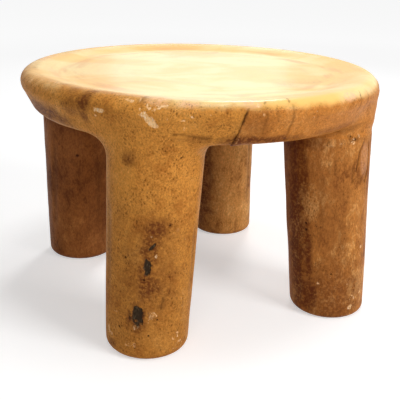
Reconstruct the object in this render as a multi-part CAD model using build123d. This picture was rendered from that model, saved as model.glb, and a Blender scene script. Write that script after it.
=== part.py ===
"""Low round African drum table.

A dished round top and four stout splayed legs of wood. Each leg is tenoned
through the top and wedged, and the whole carcass is covered in rawhide that was
stretched on wet, lapped, and tacked down under the rim and under the feet.

Millimetres, +Z up. The origin is on the floor under the middle of the top, and
-Y is the front. Azimuths are counted from the front towards the right (+X).
"""

import os
from math import ceil, cos, pi, radians, sin

from build123d import *

# --- the table as a whole ---
TOP_DIAMETER = 610.0
TABLE_HEIGHT = 400.0
HIDE_THICKNESS = 2.5

# --- section of the finished top, hide included ---
TOP_DEPTH = 69.0              # from the crest down to the underside
SHOULDER_RADIUS = 20.0        # round from the crest to the widest line
ROLL_RADIUS = 25.0            # round from the rim's flank to the underside
ROLL_INSET = 12.5             # the lower round lies inside the widest line
DISH_DEPTH = 9.0
DISH_WALL_RUN = 46.0          # from the crest in to the foot of the dish wall
DISH_FOOT_RADIUS = 90.0

# --- legs ---
LEG_TOP_RADIUS = 75.0
FOOT_RADIUS = 64.0
LEG_SET_IN = 4.0              # from the widest line in to a leg's outer face
FOOT_SPREAD = 32.5            # a foot stands this much further out than its head
FOOT_ROUNDING = 11.0
NECK_FILLET = 18.0            # where a leg swells out into the underside
NECK_SINK = 1.2               # the neck's round ends this far inside the top
NECK_SWEEP = 84.0             # degrees of that round that are made
NECK_STEPS = 5
HEAD_AZIMUTH = {"front": -15.9, "right": 72.9, "back": 170.1, "left": 253.0}
FOOT_AZIMUTH = {"front": -16.5, "right": 65.5, "back": 167.3, "left": 245.1}

# --- wedged through tenons ---
TENON_RADIUS = 29.0
TENON_CLEARANCE = 0.2
WEDGE_THICKNESS = 7.0
WEDGE_TIP = 1.5
WEDGE_DEPTH = 34.0

# --- how the hide is cut, lapped and turned in ---
RIM_HEM = 40.0                # turned in on the underside, inside the lower round
FOOT_HEM = 28.0               # turned in under a foot, from the leg's side
NECK_COLLAR = 15.0            # hide spread on the underside beyond a neck
SLEEVE_DROP = {"front": 124.0, "right": 20.0, "back": 20.0, "left": 20.0}
BAND_DROP = 13.0              # the rim band's upper edge, below the crest
FRONT_SEAM_HEAD_AZIMUTH = 13.2
FRONT_SEAM_FOOT_AZIMUTH = 9.6
BACK_SEAM_AZIMUTH = 130.0

# --- tacks ---
TACK_HEAD_RADIUS = 4.0
TACK_HEAD_THICKNESS = 1.2
TACK_HEAD_BEVEL = 0.9
TACK_SHANK_RADIUS = 0.9
TACK_LENGTH = 13.0
TACK_RECESS = 0.4             # foot tacks are driven this deep into the hide
TACK_EDGE = 8.0               # from a hem's cut edge to the tacks' centres
TACK_PITCH = 34.0

# --- what follows from them ---
TOP_RADIUS = TOP_DIAMETER / 2
CREST_CIRCLE = TOP_RADIUS - SHOULDER_RADIUS
ROLL_CIRCLE = TOP_RADIUS - ROLL_INSET - ROLL_RADIUS
DISH_CIRCLE = CREST_CIRCLE - DISH_WALL_RUN
HEM_CIRCLE = ROLL_CIRCLE - RIM_HEM
UNDERSIDE_Z = TABLE_HEIGHT - TOP_DEPTH
DISH_Z = TABLE_HEIGHT - DISH_DEPTH
HEAD_CIRCLE = TOP_RADIUS - LEG_SET_IN - LEG_TOP_RADIUS
FOOT_CIRCLE = HEAD_CIRCLE + FOOT_SPREAD
NECK_Z = UNDERSIDE_Z + NECK_SINK - NECK_FILLET
NECK_LEAN_IN = max(0.0, 1 - LEG_SET_IN / NECK_FILLET)
COLLAR_GROWTH = NECK_FILLET + NECK_COLLAR
CLEAR = 20.0                  # how far cutting blocks reach past what they cut
SIDES = list(HEAD_AZIMUTH)


def around(radius, azimuth, z=0.0):
    """A point at a radius, azimuth and height."""
    turn = radians(azimuth)
    return Vector(radius * sin(turn), -radius * cos(turn), z)


def cylinder(centre, radius, low, high):
    """An upright cylinder between two heights."""
    return Pos(centre.X, centre.Y, (low + high) / 2) * Cylinder(radius, high - low)


# ---------------------------------------------------------------- the whole form

def top_form(inset):
    """The solid top, with every surface set in by an amount."""
    rounds = []
    for side in (1, -1):
        shoulder = Pos(side * CREST_CIRCLE, TABLE_HEIGHT - SHOULDER_RADIUS) * Circle(SHOULDER_RADIUS)
        roll = Pos(side * ROLL_CIRCLE, UNDERSIDE_Z + ROLL_RADIUS) * Circle(ROLL_RADIUS)
        rounds += shoulder.edges() + roll.edges()
    dish = make_face(Polyline(
        (-CREST_CIRCLE, TABLE_HEIGHT),
        (-DISH_CIRCLE, DISH_Z),
        (DISH_CIRCLE, DISH_Z),
        (CREST_CIRCLE, TABLE_HEIGHT),
        close=True,
    ))
    section = make_hull(rounds) - dish
    feet = section.vertices().filter_by_position(Axis.Y, DISH_Z - 0.01, DISH_Z + 0.01)
    section = fillet(feet, DISH_FOOT_RADIUS)
    if inset > 0:
        section = offset(section, amount=-inset)
    section &= Pos(TOP_RADIUS, 0) * Rectangle(2 * TOP_RADIUS, 3 * TABLE_HEIGHT)
    return revolve(Plane.XZ * section, axis=Axis.Z)


def leg_centre(side, z):
    """Where a leg's axis passes a height."""
    foot = around(FOOT_CIRCLE, FOOT_AZIMUTH[side])
    head = around(HEAD_CIRCLE, HEAD_AZIMUTH[side], UNDERSIDE_Z)
    return foot + (head - foot) * (z / UNDERSIDE_Z)


def leg_ring(side, z, inset, growth):
    """A leg's round section, swollen sideways and inwards by a growth."""
    centre = leg_centre(side, z)
    inward = Vector(-centre.X, -centre.Y, 0).normalized()
    centre += inward * (growth * NECK_LEAN_IN)
    radius = FOOT_RADIUS + (LEG_TOP_RADIUS - FOOT_RADIUS) * min(z, NECK_Z) / UNDERSIDE_Z
    return Pos(centre.X, centre.Y, z) * Circle(radius - inset + growth)


def leg_form(side, inset):
    """A leg with its rounded foot and swollen neck, set in by an amount."""
    shaft = loft([leg_ring(side, inset, inset, 0), leg_ring(side, NECK_Z, inset, 0)], ruled=True)
    sole = shaft.faces().sort_by(Axis.Z)[0]
    shaft = fillet(sole.edges(), FOOT_ROUNDING - inset)
    round_radius = NECK_FILLET + inset
    neck_rings = []
    for step in range(NECK_STEPS + 1):
        turn = radians(NECK_SWEEP * step / NECK_STEPS)
        z = NECK_Z + round_radius * sin(turn)
        growth = round_radius * (1 - cos(turn))
        neck_rings.append(leg_ring(side, z, inset, growth))
    buried = leg_ring(side, TABLE_HEIGHT - SHOULDER_RADIUS, inset, growth)
    return shaft + loft(neck_rings) + loft([neck_rings[-1], buried], ruled=True)


# ---------------------------------------------------------------- wood

def tenon_plane(side):
    """A plane at a leg's head, with its Z along the leg's axis."""
    foot = leg_centre(side, 0)
    head = leg_centre(side, UNDERSIDE_Z)
    return Plane(origin=head, x_dir=around(1, HEAD_AZIMUTH[side]), z_dir=head - foot)


def tenon(side, clearance):
    """A round tenon that runs on past both faces of the top."""
    return tenon_plane(side) * Cylinder(TENON_RADIUS + clearance, 3 * TOP_DEPTH)


def wedge_blank(side, top):
    """A tapered wedge across the tenon, down from the dish."""
    head = leg_centre(side, UNDERSIDE_Z)
    end = leg_centre(side, DISH_Z)
    plane = Plane(origin=end, x_dir=around(1, HEAD_AZIMUTH[side]), z_dir=end - head)
    slope = (WEDGE_THICKNESS - WEDGE_TIP) / WEDGE_DEPTH
    over = TOP_DEPTH - WEDGE_DEPTH
    wide = WEDGE_THICKNESS + slope * over
    outline = make_face(Polyline(
        (-WEDGE_TIP / 2, -WEDGE_DEPTH),
        (WEDGE_TIP / 2, -WEDGE_DEPTH),
        (wide / 2, over),
        (-wide / 2, over),
        close=True,
    ))
    upright = Plane(origin=(0, 0, 0), x_dir=(1, 0, 0), z_dir=(0, -1, 0))
    prism = extrude(upright * outline, TENON_RADIUS, both=True)
    return plane * prism & tenon(side, 0) & top


def leg_core(side, top):
    """The wooden leg: a post coped to the top, with its kerfed tenon."""
    post = leg_form(side, HIDE_THICKNESS) - top
    return post + (tenon(side, 0) & top) - wedge_blank(side, top)


def top_core(top):
    """The dished wooden slab with its four mortises."""
    for side in SIDES:
        top -= tenon(side, TENON_CLEARANCE)
    return top


# ---------------------------------------------------------------- hide

def leg_zone(side, growth, low, high):
    """The space round a leg, grown by an amount, between two heights."""
    return loft([leg_ring(side, low, 0, growth), leg_ring(side, high, 0, growth)], ruled=True)


def sleeve_zone(side):
    """The space in which the hide on a leg is a sleeve of its own."""
    return leg_zone(side, CLEAR, -CLEAR, UNDERSIDE_Z - SLEEVE_DROP[side])


def rim_band_cuts():
    """The planes of the rim band's upper edge, front seam and back seam."""
    middle = Vector(0, 0, UNDERSIDE_Z)
    head = around(CREST_CIRCLE, FRONT_SEAM_HEAD_AZIMUTH, TABLE_HEIGHT)
    foot = around(CREST_CIRCLE, FRONT_SEAM_FOOT_AZIMUTH, UNDERSIDE_Z)
    upper_edge = Plane(origin=(0, 0, TABLE_HEIGHT - BAND_DROP), z_dir=(0, 0, -1))
    front_seam = Plane(origin=middle, z_dir=(head - middle).cross(foot - middle))
    back_seam = Plane(origin=middle, z_dir=around(1, BACK_SEAM_AZIMUTH - 90))
    return upper_edge, front_seam, back_seam


def part_off_band(hide):
    """The hide above the sleeves as the top skin and the rim band."""
    front_growth = COLLAR_GROWTH + HIDE_THICKNESS
    front_leg = leg_zone("front", front_growth, -CLEAR, UNDERSIDE_Z + ROLL_RADIUS)
    rest = [hide & front_leg]
    band = hide - front_leg
    for cut in rim_band_cuts():
        rest.append(split(band, bisect_by=cut, keep=Keep.BOTTOM))
        band = split(band, bisect_by=cut, keep=Keep.TOP)
    return rest[0] + rest[1:], band


def leg_skin(hide, side, tacks):
    """A leg's sleeve of hide, with its hem turned in under the foot."""
    sole_gap = cylinder(leg_centre(side, 0), FOOT_RADIUS - FOOT_HEM, -CLEAR, CLEAR)
    sleeve = (hide & sleeve_zone(side)) - sole_gap
    for at in foot_tack_places(side):
        sleeve -= cylinder(at, TACK_HEAD_RADIUS, -TACK_RECESS, TACK_RECESS + TACK_HEAD_THICKNESS)
    return sleeve - tacks


def upper_hide(hide):
    """All hide above the sleeves, cut out in the middle of the underside."""
    bare = cylinder(Vector(0, 0, 0), HEM_CIRCLE, UNDERSIDE_Z - CLEAR, UNDERSIDE_Z + ROLL_RADIUS)
    for side in SIDES:
        hide -= sleeve_zone(side)
        bare -= leg_zone(side, COLLAR_GROWTH, UNDERSIDE_Z - 2 * CLEAR, UNDERSIDE_Z + 2 * CLEAR)
    return hide - bare


# ---------------------------------------------------------------- tacks

def tack(at, z):
    """A flat-headed tack whose head's lower face lies at a height, point up."""
    rim = Pos(at.X, at.Y, z + TACK_HEAD_THICKNESS / 2)
    head = rim * Cone(TACK_HEAD_RADIUS - TACK_HEAD_BEVEL, TACK_HEAD_RADIUS, TACK_HEAD_THICKNESS)
    shank_length = TACK_LENGTH - TACK_HEAD_THICKNESS
    shank = Pos(at.X, at.Y, z + TACK_HEAD_THICKNESS + shank_length / 2)
    return head + shank * Cone(TACK_SHANK_RADIUS, TACK_SHANK_RADIUS / 4, shank_length)


def foot_tack_places(side):
    """A ring of places on the hem under a foot."""
    centre = leg_centre(side, 0)
    radius = FOOT_RADIUS - FOOT_HEM + TACK_EDGE
    count = round(2 * pi * radius / TACK_PITCH)
    return [centre + around(radius, 360 * step / count) for step in range(count)]


def collar_tack_places(side):
    """Places along the collar's free edge on the underside, inside the hem."""
    centre = leg_centre(side, UNDERSIDE_Z)
    inward = Vector(-centre.X, -centre.Y, 0).normalized()
    centre += inward * (COLLAR_GROWTH * NECK_LEAN_IN)
    radius = LEG_TOP_RADIUS + COLLAR_GROWTH - TACK_EDGE
    count = ceil(2 * pi * radius / TACK_PITCH)
    ring = [centre + around(radius, 360 * step / count) for step in range(count)]
    return [at for at in ring if Vector(at.X, at.Y, 0).length < HEM_CIRCLE]


def hem_tack_places():
    """Places along the rim hem's cut edge, clear of the legs' collars."""
    radius = HEM_CIRCLE + TACK_EDGE
    count = round(2 * pi * radius / TACK_PITCH)
    ring = [around(radius, 360 * step / count) for step in range(count)]
    clear = []
    for at in ring:
        gaps = []
        for side in SIDES:
            centre = leg_centre(side, UNDERSIDE_Z)
            gaps.append(Vector(at.X - centre.X, at.Y - centre.Y, 0).length)
        if min(gaps) > LEG_TOP_RADIUS + COLLAR_GROWTH + TACK_HEAD_RADIUS:
            clear.append(at)
    return clear


def foot_tacks(side):
    """The tacks under one foot, a little short of the floor."""
    return [tack(Vector(at.X, at.Y, 0), TACK_RECESS) for at in foot_tack_places(side)]


def underside_tacks():
    """The tacks that hold the rim hem and the collars to the underside."""
    places = hem_tack_places()
    for side in SIDES:
        places += collar_tack_places(side)
    return [tack(at, UNDERSIDE_Z - TACK_HEAD_THICKNESS) for at in places]


# ---------------------------------------------------------------- the table

def build_table():
    """Every piece of the table by name."""
    bare_top = top_form(HIDE_THICKNESS)
    finished = top_form(0)
    carcass = bare_top
    for side in SIDES:
        finished += leg_form(side, 0)
        carcass += leg_form(side, HIDE_THICKNESS)
    hide = finished - carcass
    upper_tacks = underside_tacks()
    top_skin, rim_band_skin = part_off_band(upper_hide(hide) - upper_tacks)

    pieces = {
        "top_core": top_core(bare_top) - upper_tacks,
        "top_skin": top_skin,
        "rim_band_skin": rim_band_skin,
        "underside_tacks": Compound(upper_tacks),
    }
    for side in SIDES:
        lower_tacks = foot_tacks(side)
        tacks = lower_tacks + upper_tacks
        pieces[f"leg_core_{side}"] = leg_core(side, bare_top) - tacks
        pieces[f"tenon_wedge_{side}"] = wedge_blank(side, bare_top)
        pieces[f"leg_skin_{side}"] = leg_skin(hide, side, tacks)
        pieces[f"foot_tacks_{side}"] = Compound(lower_tacks)
    return pieces


os.makedirs("parts", exist_ok=True)
for name, piece in build_table().items():
    export_step(piece, f"parts/{name}.step")
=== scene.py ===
"""African drum table: a low round table, carcass of wood, covered in lacquered rawhide.

The finished skin is one distance field, a fat-rimmed dish on four splayed legs. It is
netted once, cut along the seams into its hides, and each hide gets its own thickness,
laps, creases, wear and finish. Lengths are in millimetres until a mesh is made.
"""

from itertools import product
from math import cos, pi, radians, sin

import bmesh
import bpy
import numpy as np
from mathutils import Matrix, Vector


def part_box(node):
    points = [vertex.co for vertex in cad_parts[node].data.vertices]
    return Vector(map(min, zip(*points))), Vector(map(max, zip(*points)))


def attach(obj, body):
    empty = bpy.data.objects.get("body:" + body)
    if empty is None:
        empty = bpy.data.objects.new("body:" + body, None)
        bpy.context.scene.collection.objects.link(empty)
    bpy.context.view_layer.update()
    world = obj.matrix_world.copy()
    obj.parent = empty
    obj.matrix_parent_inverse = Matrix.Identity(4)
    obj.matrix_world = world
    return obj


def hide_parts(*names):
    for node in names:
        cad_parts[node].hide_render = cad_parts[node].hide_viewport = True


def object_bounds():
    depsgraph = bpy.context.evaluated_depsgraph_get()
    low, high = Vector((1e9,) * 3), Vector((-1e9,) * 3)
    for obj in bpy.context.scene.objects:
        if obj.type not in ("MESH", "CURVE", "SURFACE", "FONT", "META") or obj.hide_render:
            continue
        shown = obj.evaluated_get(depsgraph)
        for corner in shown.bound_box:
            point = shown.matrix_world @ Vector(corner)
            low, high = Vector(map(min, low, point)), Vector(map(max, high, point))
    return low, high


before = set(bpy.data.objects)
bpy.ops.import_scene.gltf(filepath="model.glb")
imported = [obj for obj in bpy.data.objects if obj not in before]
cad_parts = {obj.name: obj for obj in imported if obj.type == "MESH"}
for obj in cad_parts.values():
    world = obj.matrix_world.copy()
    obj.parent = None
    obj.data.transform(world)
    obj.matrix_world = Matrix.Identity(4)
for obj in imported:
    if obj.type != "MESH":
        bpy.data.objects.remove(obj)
cad_low, cad_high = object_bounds()

MM = 0.001
SIDES = ("front", "right", "back", "left")


def per_leg(front, right, back, left):
    """A value for each leg."""
    return dict(zip(SIDES, (front, right, back, left)))


def on_legs(**rows):
    """A table's rows, each headed by the leg it belongs to."""
    return [(side, *row) for side, own in rows.items() for row in own]


# ---------------------------------------------------------------- sizes from the frame
HIDE_THICKNESS = 2.5
TACK_HEAD_RADIUS = 4.0
TACK_HEAD_THICKNESS = 1.2
skin_low, skin_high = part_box("top_skin")
TOP_RADIUS = (skin_high.y - skin_low.y) / 2 / MM
TABLE_HEIGHT = skin_high.z / MM
UNDERSIDE_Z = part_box("underside_tacks")[0].z / MM + TACK_HEAD_THICKNESS
SLEEVE_TOP = {side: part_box(f"leg_skin_{side}")[1].z / MM for side in SIDES}

# ---------------------------------------------------------------- section of the top
SHOULDER_RADIUS = 20.0
ROLL_RADIUS = 25.0
ROLL_INSET = 12.5             # the lower round lies inside the widest line
CREST_INSET = 6.0             # from the shoulder's centre in to the crest
CREST_ROUNDING = 6.0          # between the crest and the dish
DISH_DEPTH = 9.0
DISH_WALL_RUN = 50.0          # from the crest in to the foot of the dish wall
DISH_CLIMB = 0.2              # slope of the dish's cut beyond the crest
RIM_HEM = 40.0                # turned in on the underside, inside the lower round
SHOULDER_CIRCLE = TOP_RADIUS - SHOULDER_RADIUS
CREST_CIRCLE = SHOULDER_CIRCLE - CREST_INSET
ROLL_CIRCLE = TOP_RADIUS - ROLL_INSET - ROLL_RADIUS
DISH_CIRCLE = CREST_CIRCLE - DISH_WALL_RUN
HEM_CIRCLE = ROLL_CIRCLE - RIM_HEM
SHOULDER_Z = TABLE_HEIGHT - SHOULDER_RADIUS
ROLL_Z = UNDERSIDE_Z + ROLL_RADIUS

# ---------------------------------------------------------------- legs
LEG_TOP_RADIUS = 75.0
FOOT_RADIUS = 64.0
LEG_SET_IN = 4.0              # from the widest line in to a leg's outer face
FOOT_SPREAD = 32.5            # a foot stands this much further out than its head
FOOT_ROUNDING = 13.0
LEG_CAP = 12.0                # a leg's field ends this far below the shoulder's centre
HEAD_CIRCLE = TOP_RADIUS - LEG_SET_IN - LEG_TOP_RADIUS
FOOT_CIRCLE = HEAD_CIRCLE + FOOT_SPREAD
HEAD_AZIMUTH = per_leg(-15.9, 72.9, 170.1, 253.0)
FOOT_AZIMUTH = per_leg(-16.5, 65.5, 167.3, 245.1)
NECK_BLEND = per_leg(34.0, 20.0, 24.0, 20.0)
NECK_SWELL = per_leg(0.0, 3.0, 2.4, 3.4)   # keeps the joints in the wood covered
NECK_SWELL_SPAN = (-16.0, 2.0)             # where it grows, from the underside

# ---------------------------------------------------------------- hems and seams
NECK_FILLET = 18.0            # where a leg swells out into the underside
NECK_COLLAR = 15.0            # hide spread on the underside beyond a neck
COLLAR_GROWTH = NECK_FILLET + NECK_COLLAR
COLLAR_LEAN = COLLAR_GROWTH * (1 - LEG_SET_IN / NECK_FILLET)
SOLE_OPENING = 36.0
SOLE_HEM_Z = 8.0              # the opening under a foot is looked for below this height
SLEEVE_REACH = 20.0           # a sleeve's share of the hide ends this far outside its leg
SLEEVE_LAP_TURN = per_leg(160.0, -51.5, 150.0, -150.0)
BAND_DROP = 13.0              # the rim band's upper edge, below the crest
BAND_TOP_Z = TABLE_HEIGHT - BAND_DROP
FRONT_SEAM_HEAD = 13.2        # the seams' azimuths
FRONT_SEAM_FOOT = 9.6
BACK_SEAM = 130.0
SEAM_WANDER = 1.8
SEAM_WANDER_SIZE = 11.0       # the size of one of its bends

# ---------------------------------------------------------------- the net
NET_STEP = 3.4
NET_SIDE_MARGIN = 25.0        # past the top, out to the feet
NET_END_MARGIN = 6.0
PROBE = 0.25
LEAST_SLOPE = 0.05            # squared, so that a flat spot in the field throws no point far
FAR = 1000.0                  # a distance that no mark reaches


def around(radius, azimuth, z=0.0):
    """A point at a radius, an azimuth from the front towards the right, and a height."""
    turn = radians(azimuth)
    return np.array([radius * np.sin(turn), -radius * np.cos(turn), z])


# ================================================================ the form
def smooth_min(a, b, reach):
    """The lower of two distances, with a soft fillet where they meet."""
    near = np.maximum(reach - np.abs(a - b), 0.0) / reach
    return np.minimum(a, b) - near * near * reach / 4


def smooth_step(low, high, value):
    """0 below low, 1 above high and smooth between."""
    t = np.clip((value - low) / (high - low), 0.0, 1.0)
    return t * t * (3 - 2 * t)


def bell(value, width):
    """1 at zero, falling off smoothly over a width."""
    return np.exp(-(value / width) ** 2)


def top_distance(x, y, z):
    """Distance to the dished top with its fat rim."""
    rho = np.hypot(x, y)
    run, rise = ROLL_CIRCLE - SHOULDER_CIRCLE, ROLL_Z - SHOULDER_Z
    length = np.hypot(run, rise)
    along = ((rho - SHOULDER_CIRCLE) * run + (z - SHOULDER_Z) * rise) / length**2
    along = np.clip(along, 0.0, 1.0)
    swell = SHOULDER_RADIUS + (ROLL_RADIUS - SHOULDER_RADIUS) * along
    rim = np.hypot(rho - SHOULDER_CIRCLE - run * along, z - SHOULDER_Z - rise * along) - swell
    flank = ((rho - SHOULDER_CIRCLE) * -rise + (z - SHOULDER_Z) * run) / length
    slab = np.maximum(np.maximum(z - TABLE_HEIGHT, UNDERSIDE_Z - z), flank)
    body = np.minimum(rim, slab)
    across = (rho - CREST_CIRCLE) / (TOP_RADIUS - CREST_CIRCLE)
    crest = SHOULDER_RADIUS * (np.hypot(across, (z - SHOULDER_Z) / SHOULDER_RADIUS) - 1)
    body = np.where((rho > CREST_CIRCLE) & (z > SHOULDER_Z), np.maximum(body, crest), body)
    wall = smooth_step(DISH_CIRCLE, CREST_CIRCLE + CREST_INSET, rho)
    dish_z = TABLE_HEIGHT - DISH_DEPTH * (1 - wall) + np.maximum(rho - CREST_CIRCLE, 0) * DISH_CLIMB
    return -smooth_min(-body, dish_z - z, CREST_ROUNDING)


def leg_centre(side, z):
    """Where a leg's axis passes a height."""
    foot = around(FOOT_CIRCLE, FOOT_AZIMUTH[side])
    head = around(HEAD_CIRCLE, HEAD_AZIMUTH[side])
    up = z / UNDERSIDE_Z
    return foot[0] + (head[0] - foot[0]) * up, foot[1] + (head[1] - foot[1]) * up


def leg_distance(side, x, y, z):
    """Distance to a leg: a leaning tapered round with a rounded foot."""
    cx, cy = leg_centre(side, z)
    radius = FOOT_RADIUS + (LEG_TOP_RADIUS - FOOT_RADIUS) * np.clip(z / UNDERSIDE_Z, 0, 1)
    swell_low, swell_high = (UNDERSIDE_Z + reach for reach in NECK_SWELL_SPAN)
    radius = radius + NECK_SWELL[side] * smooth_step(swell_low, swell_high, z)
    wall = np.hypot(x - cx, y - cy) - radius + FOOT_ROUNDING
    sole = FOOT_ROUNDING - z
    corner = np.hypot(np.maximum(wall, 0), np.maximum(sole, 0))
    leg = np.minimum(np.maximum(wall, sole), 0) + corner - FOOT_ROUNDING
    return np.maximum(leg, z - SHOULDER_Z + LEG_CAP)


def table_distance(x, y, z):
    """Distance to the whole finished form."""
    form = top_distance(x, y, z)
    for side in SIDES:
        form = smooth_min(form, leg_distance(side, x, y, z), NECK_BLEND[side])
    return form


def gradient(field, points):
    """The field's gradient at points, by central differences."""
    slopes = []
    for axis in range(3):
        ahead, behind = points.copy(), points.copy()
        ahead[:, axis] += PROBE
        behind[:, axis] -= PROBE
        slopes.append((field(*ahead.T) - field(*behind.T)) / (2 * PROBE))
    return np.stack(slopes, 1)


def pull_to_zero(field, points, rounds=3):
    """Points moved along a field's gradient onto its zero surface."""
    for _ in range(rounds):
        slope = gradient(field, points)
        size = np.maximum((slope * slope).sum(1), LEAST_SLOPE)
        points = points - slope * (field(*points.T) / size)[:, None]
    return points


def surface_net(field, low, high, step):
    """Points and outward quads of a field's zero surface on a regular grid."""
    xs, ys, zs = (np.arange(a, b + step, step) for a, b in zip(low, high))
    level = np.empty((len(xs), len(ys), len(zs)), np.float32)
    plane_y, plane_z = np.meshgrid(ys, zs, indexing="ij")
    for i, x in enumerate(xs):
        level[i] = field(x, plane_y, plane_z)
    rings, crossings = [], []
    for axis in range(3):
        near = np.delete(level, -1, axis)
        far = np.delete(level, 0, axis)
        index = np.argwhere((near < 0) != (far < 0))
        here, there = near[tuple(index.T)], far[tuple(index.T)]
        place = index.astype(float)
        place[:, axis] += here / (here - there)
        ring = []
        for du, dv in ((0, 0), (1, 0), (1, 1), (0, 1)):
            cell = index.copy()
            cell[:, (axis + 1) % 3] -= du
            cell[:, (axis + 2) % 3] -= dv
            ring.append(np.ravel_multi_index(cell.T, level.shape))
        ring = np.stack(ring, 1)
        inward = here > 0
        ring[inward] = ring[inward, ::-1]
        rings.append(ring)
        crossings.append(place)
    rings, crossings = np.concatenate(rings), np.concatenate(crossings)
    corner = np.unique(rings.ravel(), return_inverse=True)[1].reshape(-1)
    spread = np.repeat(crossings, 4, axis=0)
    count = np.bincount(corner)
    middle = [np.bincount(corner, spread[:, axis]) / count for axis in range(3)]
    points = np.stack(middle, 1) * step + np.array([xs[0], ys[0], zs[0]])
    return points, corner.reshape(-1, 4)


# ================================================================ the seams
def collar_ring(side, x, y, z):
    """Distance out from the circle of hide spread on the underside round a leg."""
    cx, cy = leg_centre(side, np.minimum(z, UNDERSIDE_Z))
    out = np.hypot(cx, cy)
    inward = 1 - COLLAR_LEAN / out
    return np.hypot(x - cx * inward, y - cy * inward) - LEG_TOP_RADIUS - COLLAR_GROWTH


def sleeve_edge(side):
    """Below zero where the hide belongs to a leg's own sleeve."""
    def edge(x, y, z):
        cx, cy = leg_centre(side, z)
        return np.maximum(np.hypot(x - cx, y - cy) - LEG_TOP_RADIUS - SLEEVE_REACH, z - SLEEVE_TOP[side])
    return edge


def sole_edge(side):
    """Below zero in the opening of the hem under a foot."""
    cx, cy = leg_centre(side, 0.0)
    return lambda x, y, z: np.maximum(np.hypot(x - cx, y - cy) - SOLE_OPENING, z - SOLE_HEM_Z)


def bare_edge(x, y, z):
    """Below zero on the underside's bare middle."""
    edge = np.maximum(np.hypot(x, y) - HEM_CIRCLE, z - ROLL_Z)
    for side in SIDES:
        edge = np.maximum(edge, -collar_ring(side, x, y, z))
    return edge


def seam_planes(x, y, z):
    """Distances from the band's wandering front seam and back seam, below zero on the band."""
    wander = SEAM_WANDER * noise(np.stack([x, y, z], 1), SEAM_WANDER_SIZE, 18)
    head = around(SHOULDER_CIRCLE, FRONT_SEAM_HEAD, TABLE_HEIGHT - UNDERSIDE_Z)
    foot = around(SHOULDER_CIRCLE, FRONT_SEAM_FOOT)
    seam = np.cross(head, foot)
    seam /= np.linalg.norm(seam)
    front = wander - (x * seam[0] + y * seam[1] + (z - UNDERSIDE_Z) * seam[2])
    back_side = around(1.0, BACK_SEAM - 90)
    back = wander - (x * back_side[0] + y * back_side[1])
    return front, back


def band_edge(x, y, z):
    """Below zero where the browner band covers the rim."""
    front, back = seam_planes(x, y, z)
    own = np.maximum(np.maximum(front, back), z - BAND_TOP_Z)
    return np.maximum(own, HIDE_THICKNESS - collar_ring("front", x, y, z))


def snap_to_edge(points, edge, step):
    """Points near an edge are slid onto it along the skin, and marked."""
    near = np.abs(edge(*points.T)) < 0.5 * step
    chosen = points[near]
    for _ in range(2):
        chosen = pull_to_zero(edge, chosen, 1)
        chosen = pull_to_zero(table_distance, chosen, 1)
    points[near] = chosen
    return near


def cut_quads(quads, on_edge):
    """Triangles from quads, cut along the diagonal that lies on an edge."""
    across = on_edge[quads[:, 1]] & on_edge[quads[:, 3]]
    straight = ~(on_edge[quads[:, 0]] & on_edge[quads[:, 2]])
    turned = across & straight
    quads = np.where(turned[:, None], np.roll(quads, -1, axis=1), quads)
    return np.concatenate([quads[:, [0, 1, 2]], quads[:, [0, 2, 3]]])


def triangle_sides(triangles, total):
    """Each triangle's three sides as numbers, the same for both of its triangles."""
    ends = np.sort(triangles[:, [[0, 1], [1, 2], [2, 0]]].reshape(-1, 2), axis=1)
    return ends[:, 0] * total + ends[:, 1]


def join_strays(triangles, label, total):
    """Labels in which a triangle with no neighbour of its own kind joins the next one."""
    _, side = np.unique(triangle_sides(triangles, total), return_inverse=True)
    owner = np.argsort(side, kind="stable") // 3
    beside = np.concatenate([owner.reshape(-1, 2), owner.reshape(-1, 2)[:, ::-1]])
    same = label[beside[:, 0]] == label[beside[:, 1]]
    kin = np.bincount(beside[:, 0], same, minlength=len(triangles))
    lone = beside[kin[beside[:, 0]] <= 0]
    label[lone[:, 0]] = label[lone[:, 1]]
    return label


def split_triangles(points, triangles, label, chosen):
    """Chosen triangles cut in four, and their neighbours cut to match."""
    sides, which = np.unique(triangle_sides(triangles, len(points)), return_inverse=True)
    which = which.reshape(-1, 3)
    cut = np.zeros(len(sides), bool)
    cut[which[chosen]] = True
    middle = np.full(len(sides), -1)
    middle[cut] = len(points) + np.arange(cut.sum())
    first, second = np.divmod(sides[cut], len(points))
    points = np.concatenate([points, (points[first] + points[second]) / 2])
    mids = middle[which]
    count = (mids >= 0).sum(1)
    pieces, labels = [triangles[count == 0]], [label[count == 0]]
    for cuts in (1, 2, 3):
        some = count == cuts
        corners, halves = triangles[some], mids[some]
        start = np.argmax(halves >= 0, axis=1) if cuts == 1 else np.zeros(len(halves), int)
        if cuts == 2:
            start = (np.argmin(halves, axis=1) + 1) % 3
        order = (start[:, None] + np.arange(3)) % 3
        a, b, c = np.take_along_axis(corners, order, 1).T
        ab, bc, ca = np.take_along_axis(halves, order, 1).T
        fans = {
            1: ((a, ab, c), (ab, b, c)),
            2: ((ab, b, bc), (a, ab, bc), (a, bc, c)),
            3: ((a, ab, ca), (ab, b, bc), (ca, bc, c), (ab, bc, ca)),
        }
        for fan in fans[cuts]:
            pieces.append(np.stack(fan, 1))
            labels.append(label[some])
    return points, np.concatenate(pieces), np.concatenate(labels)


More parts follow.
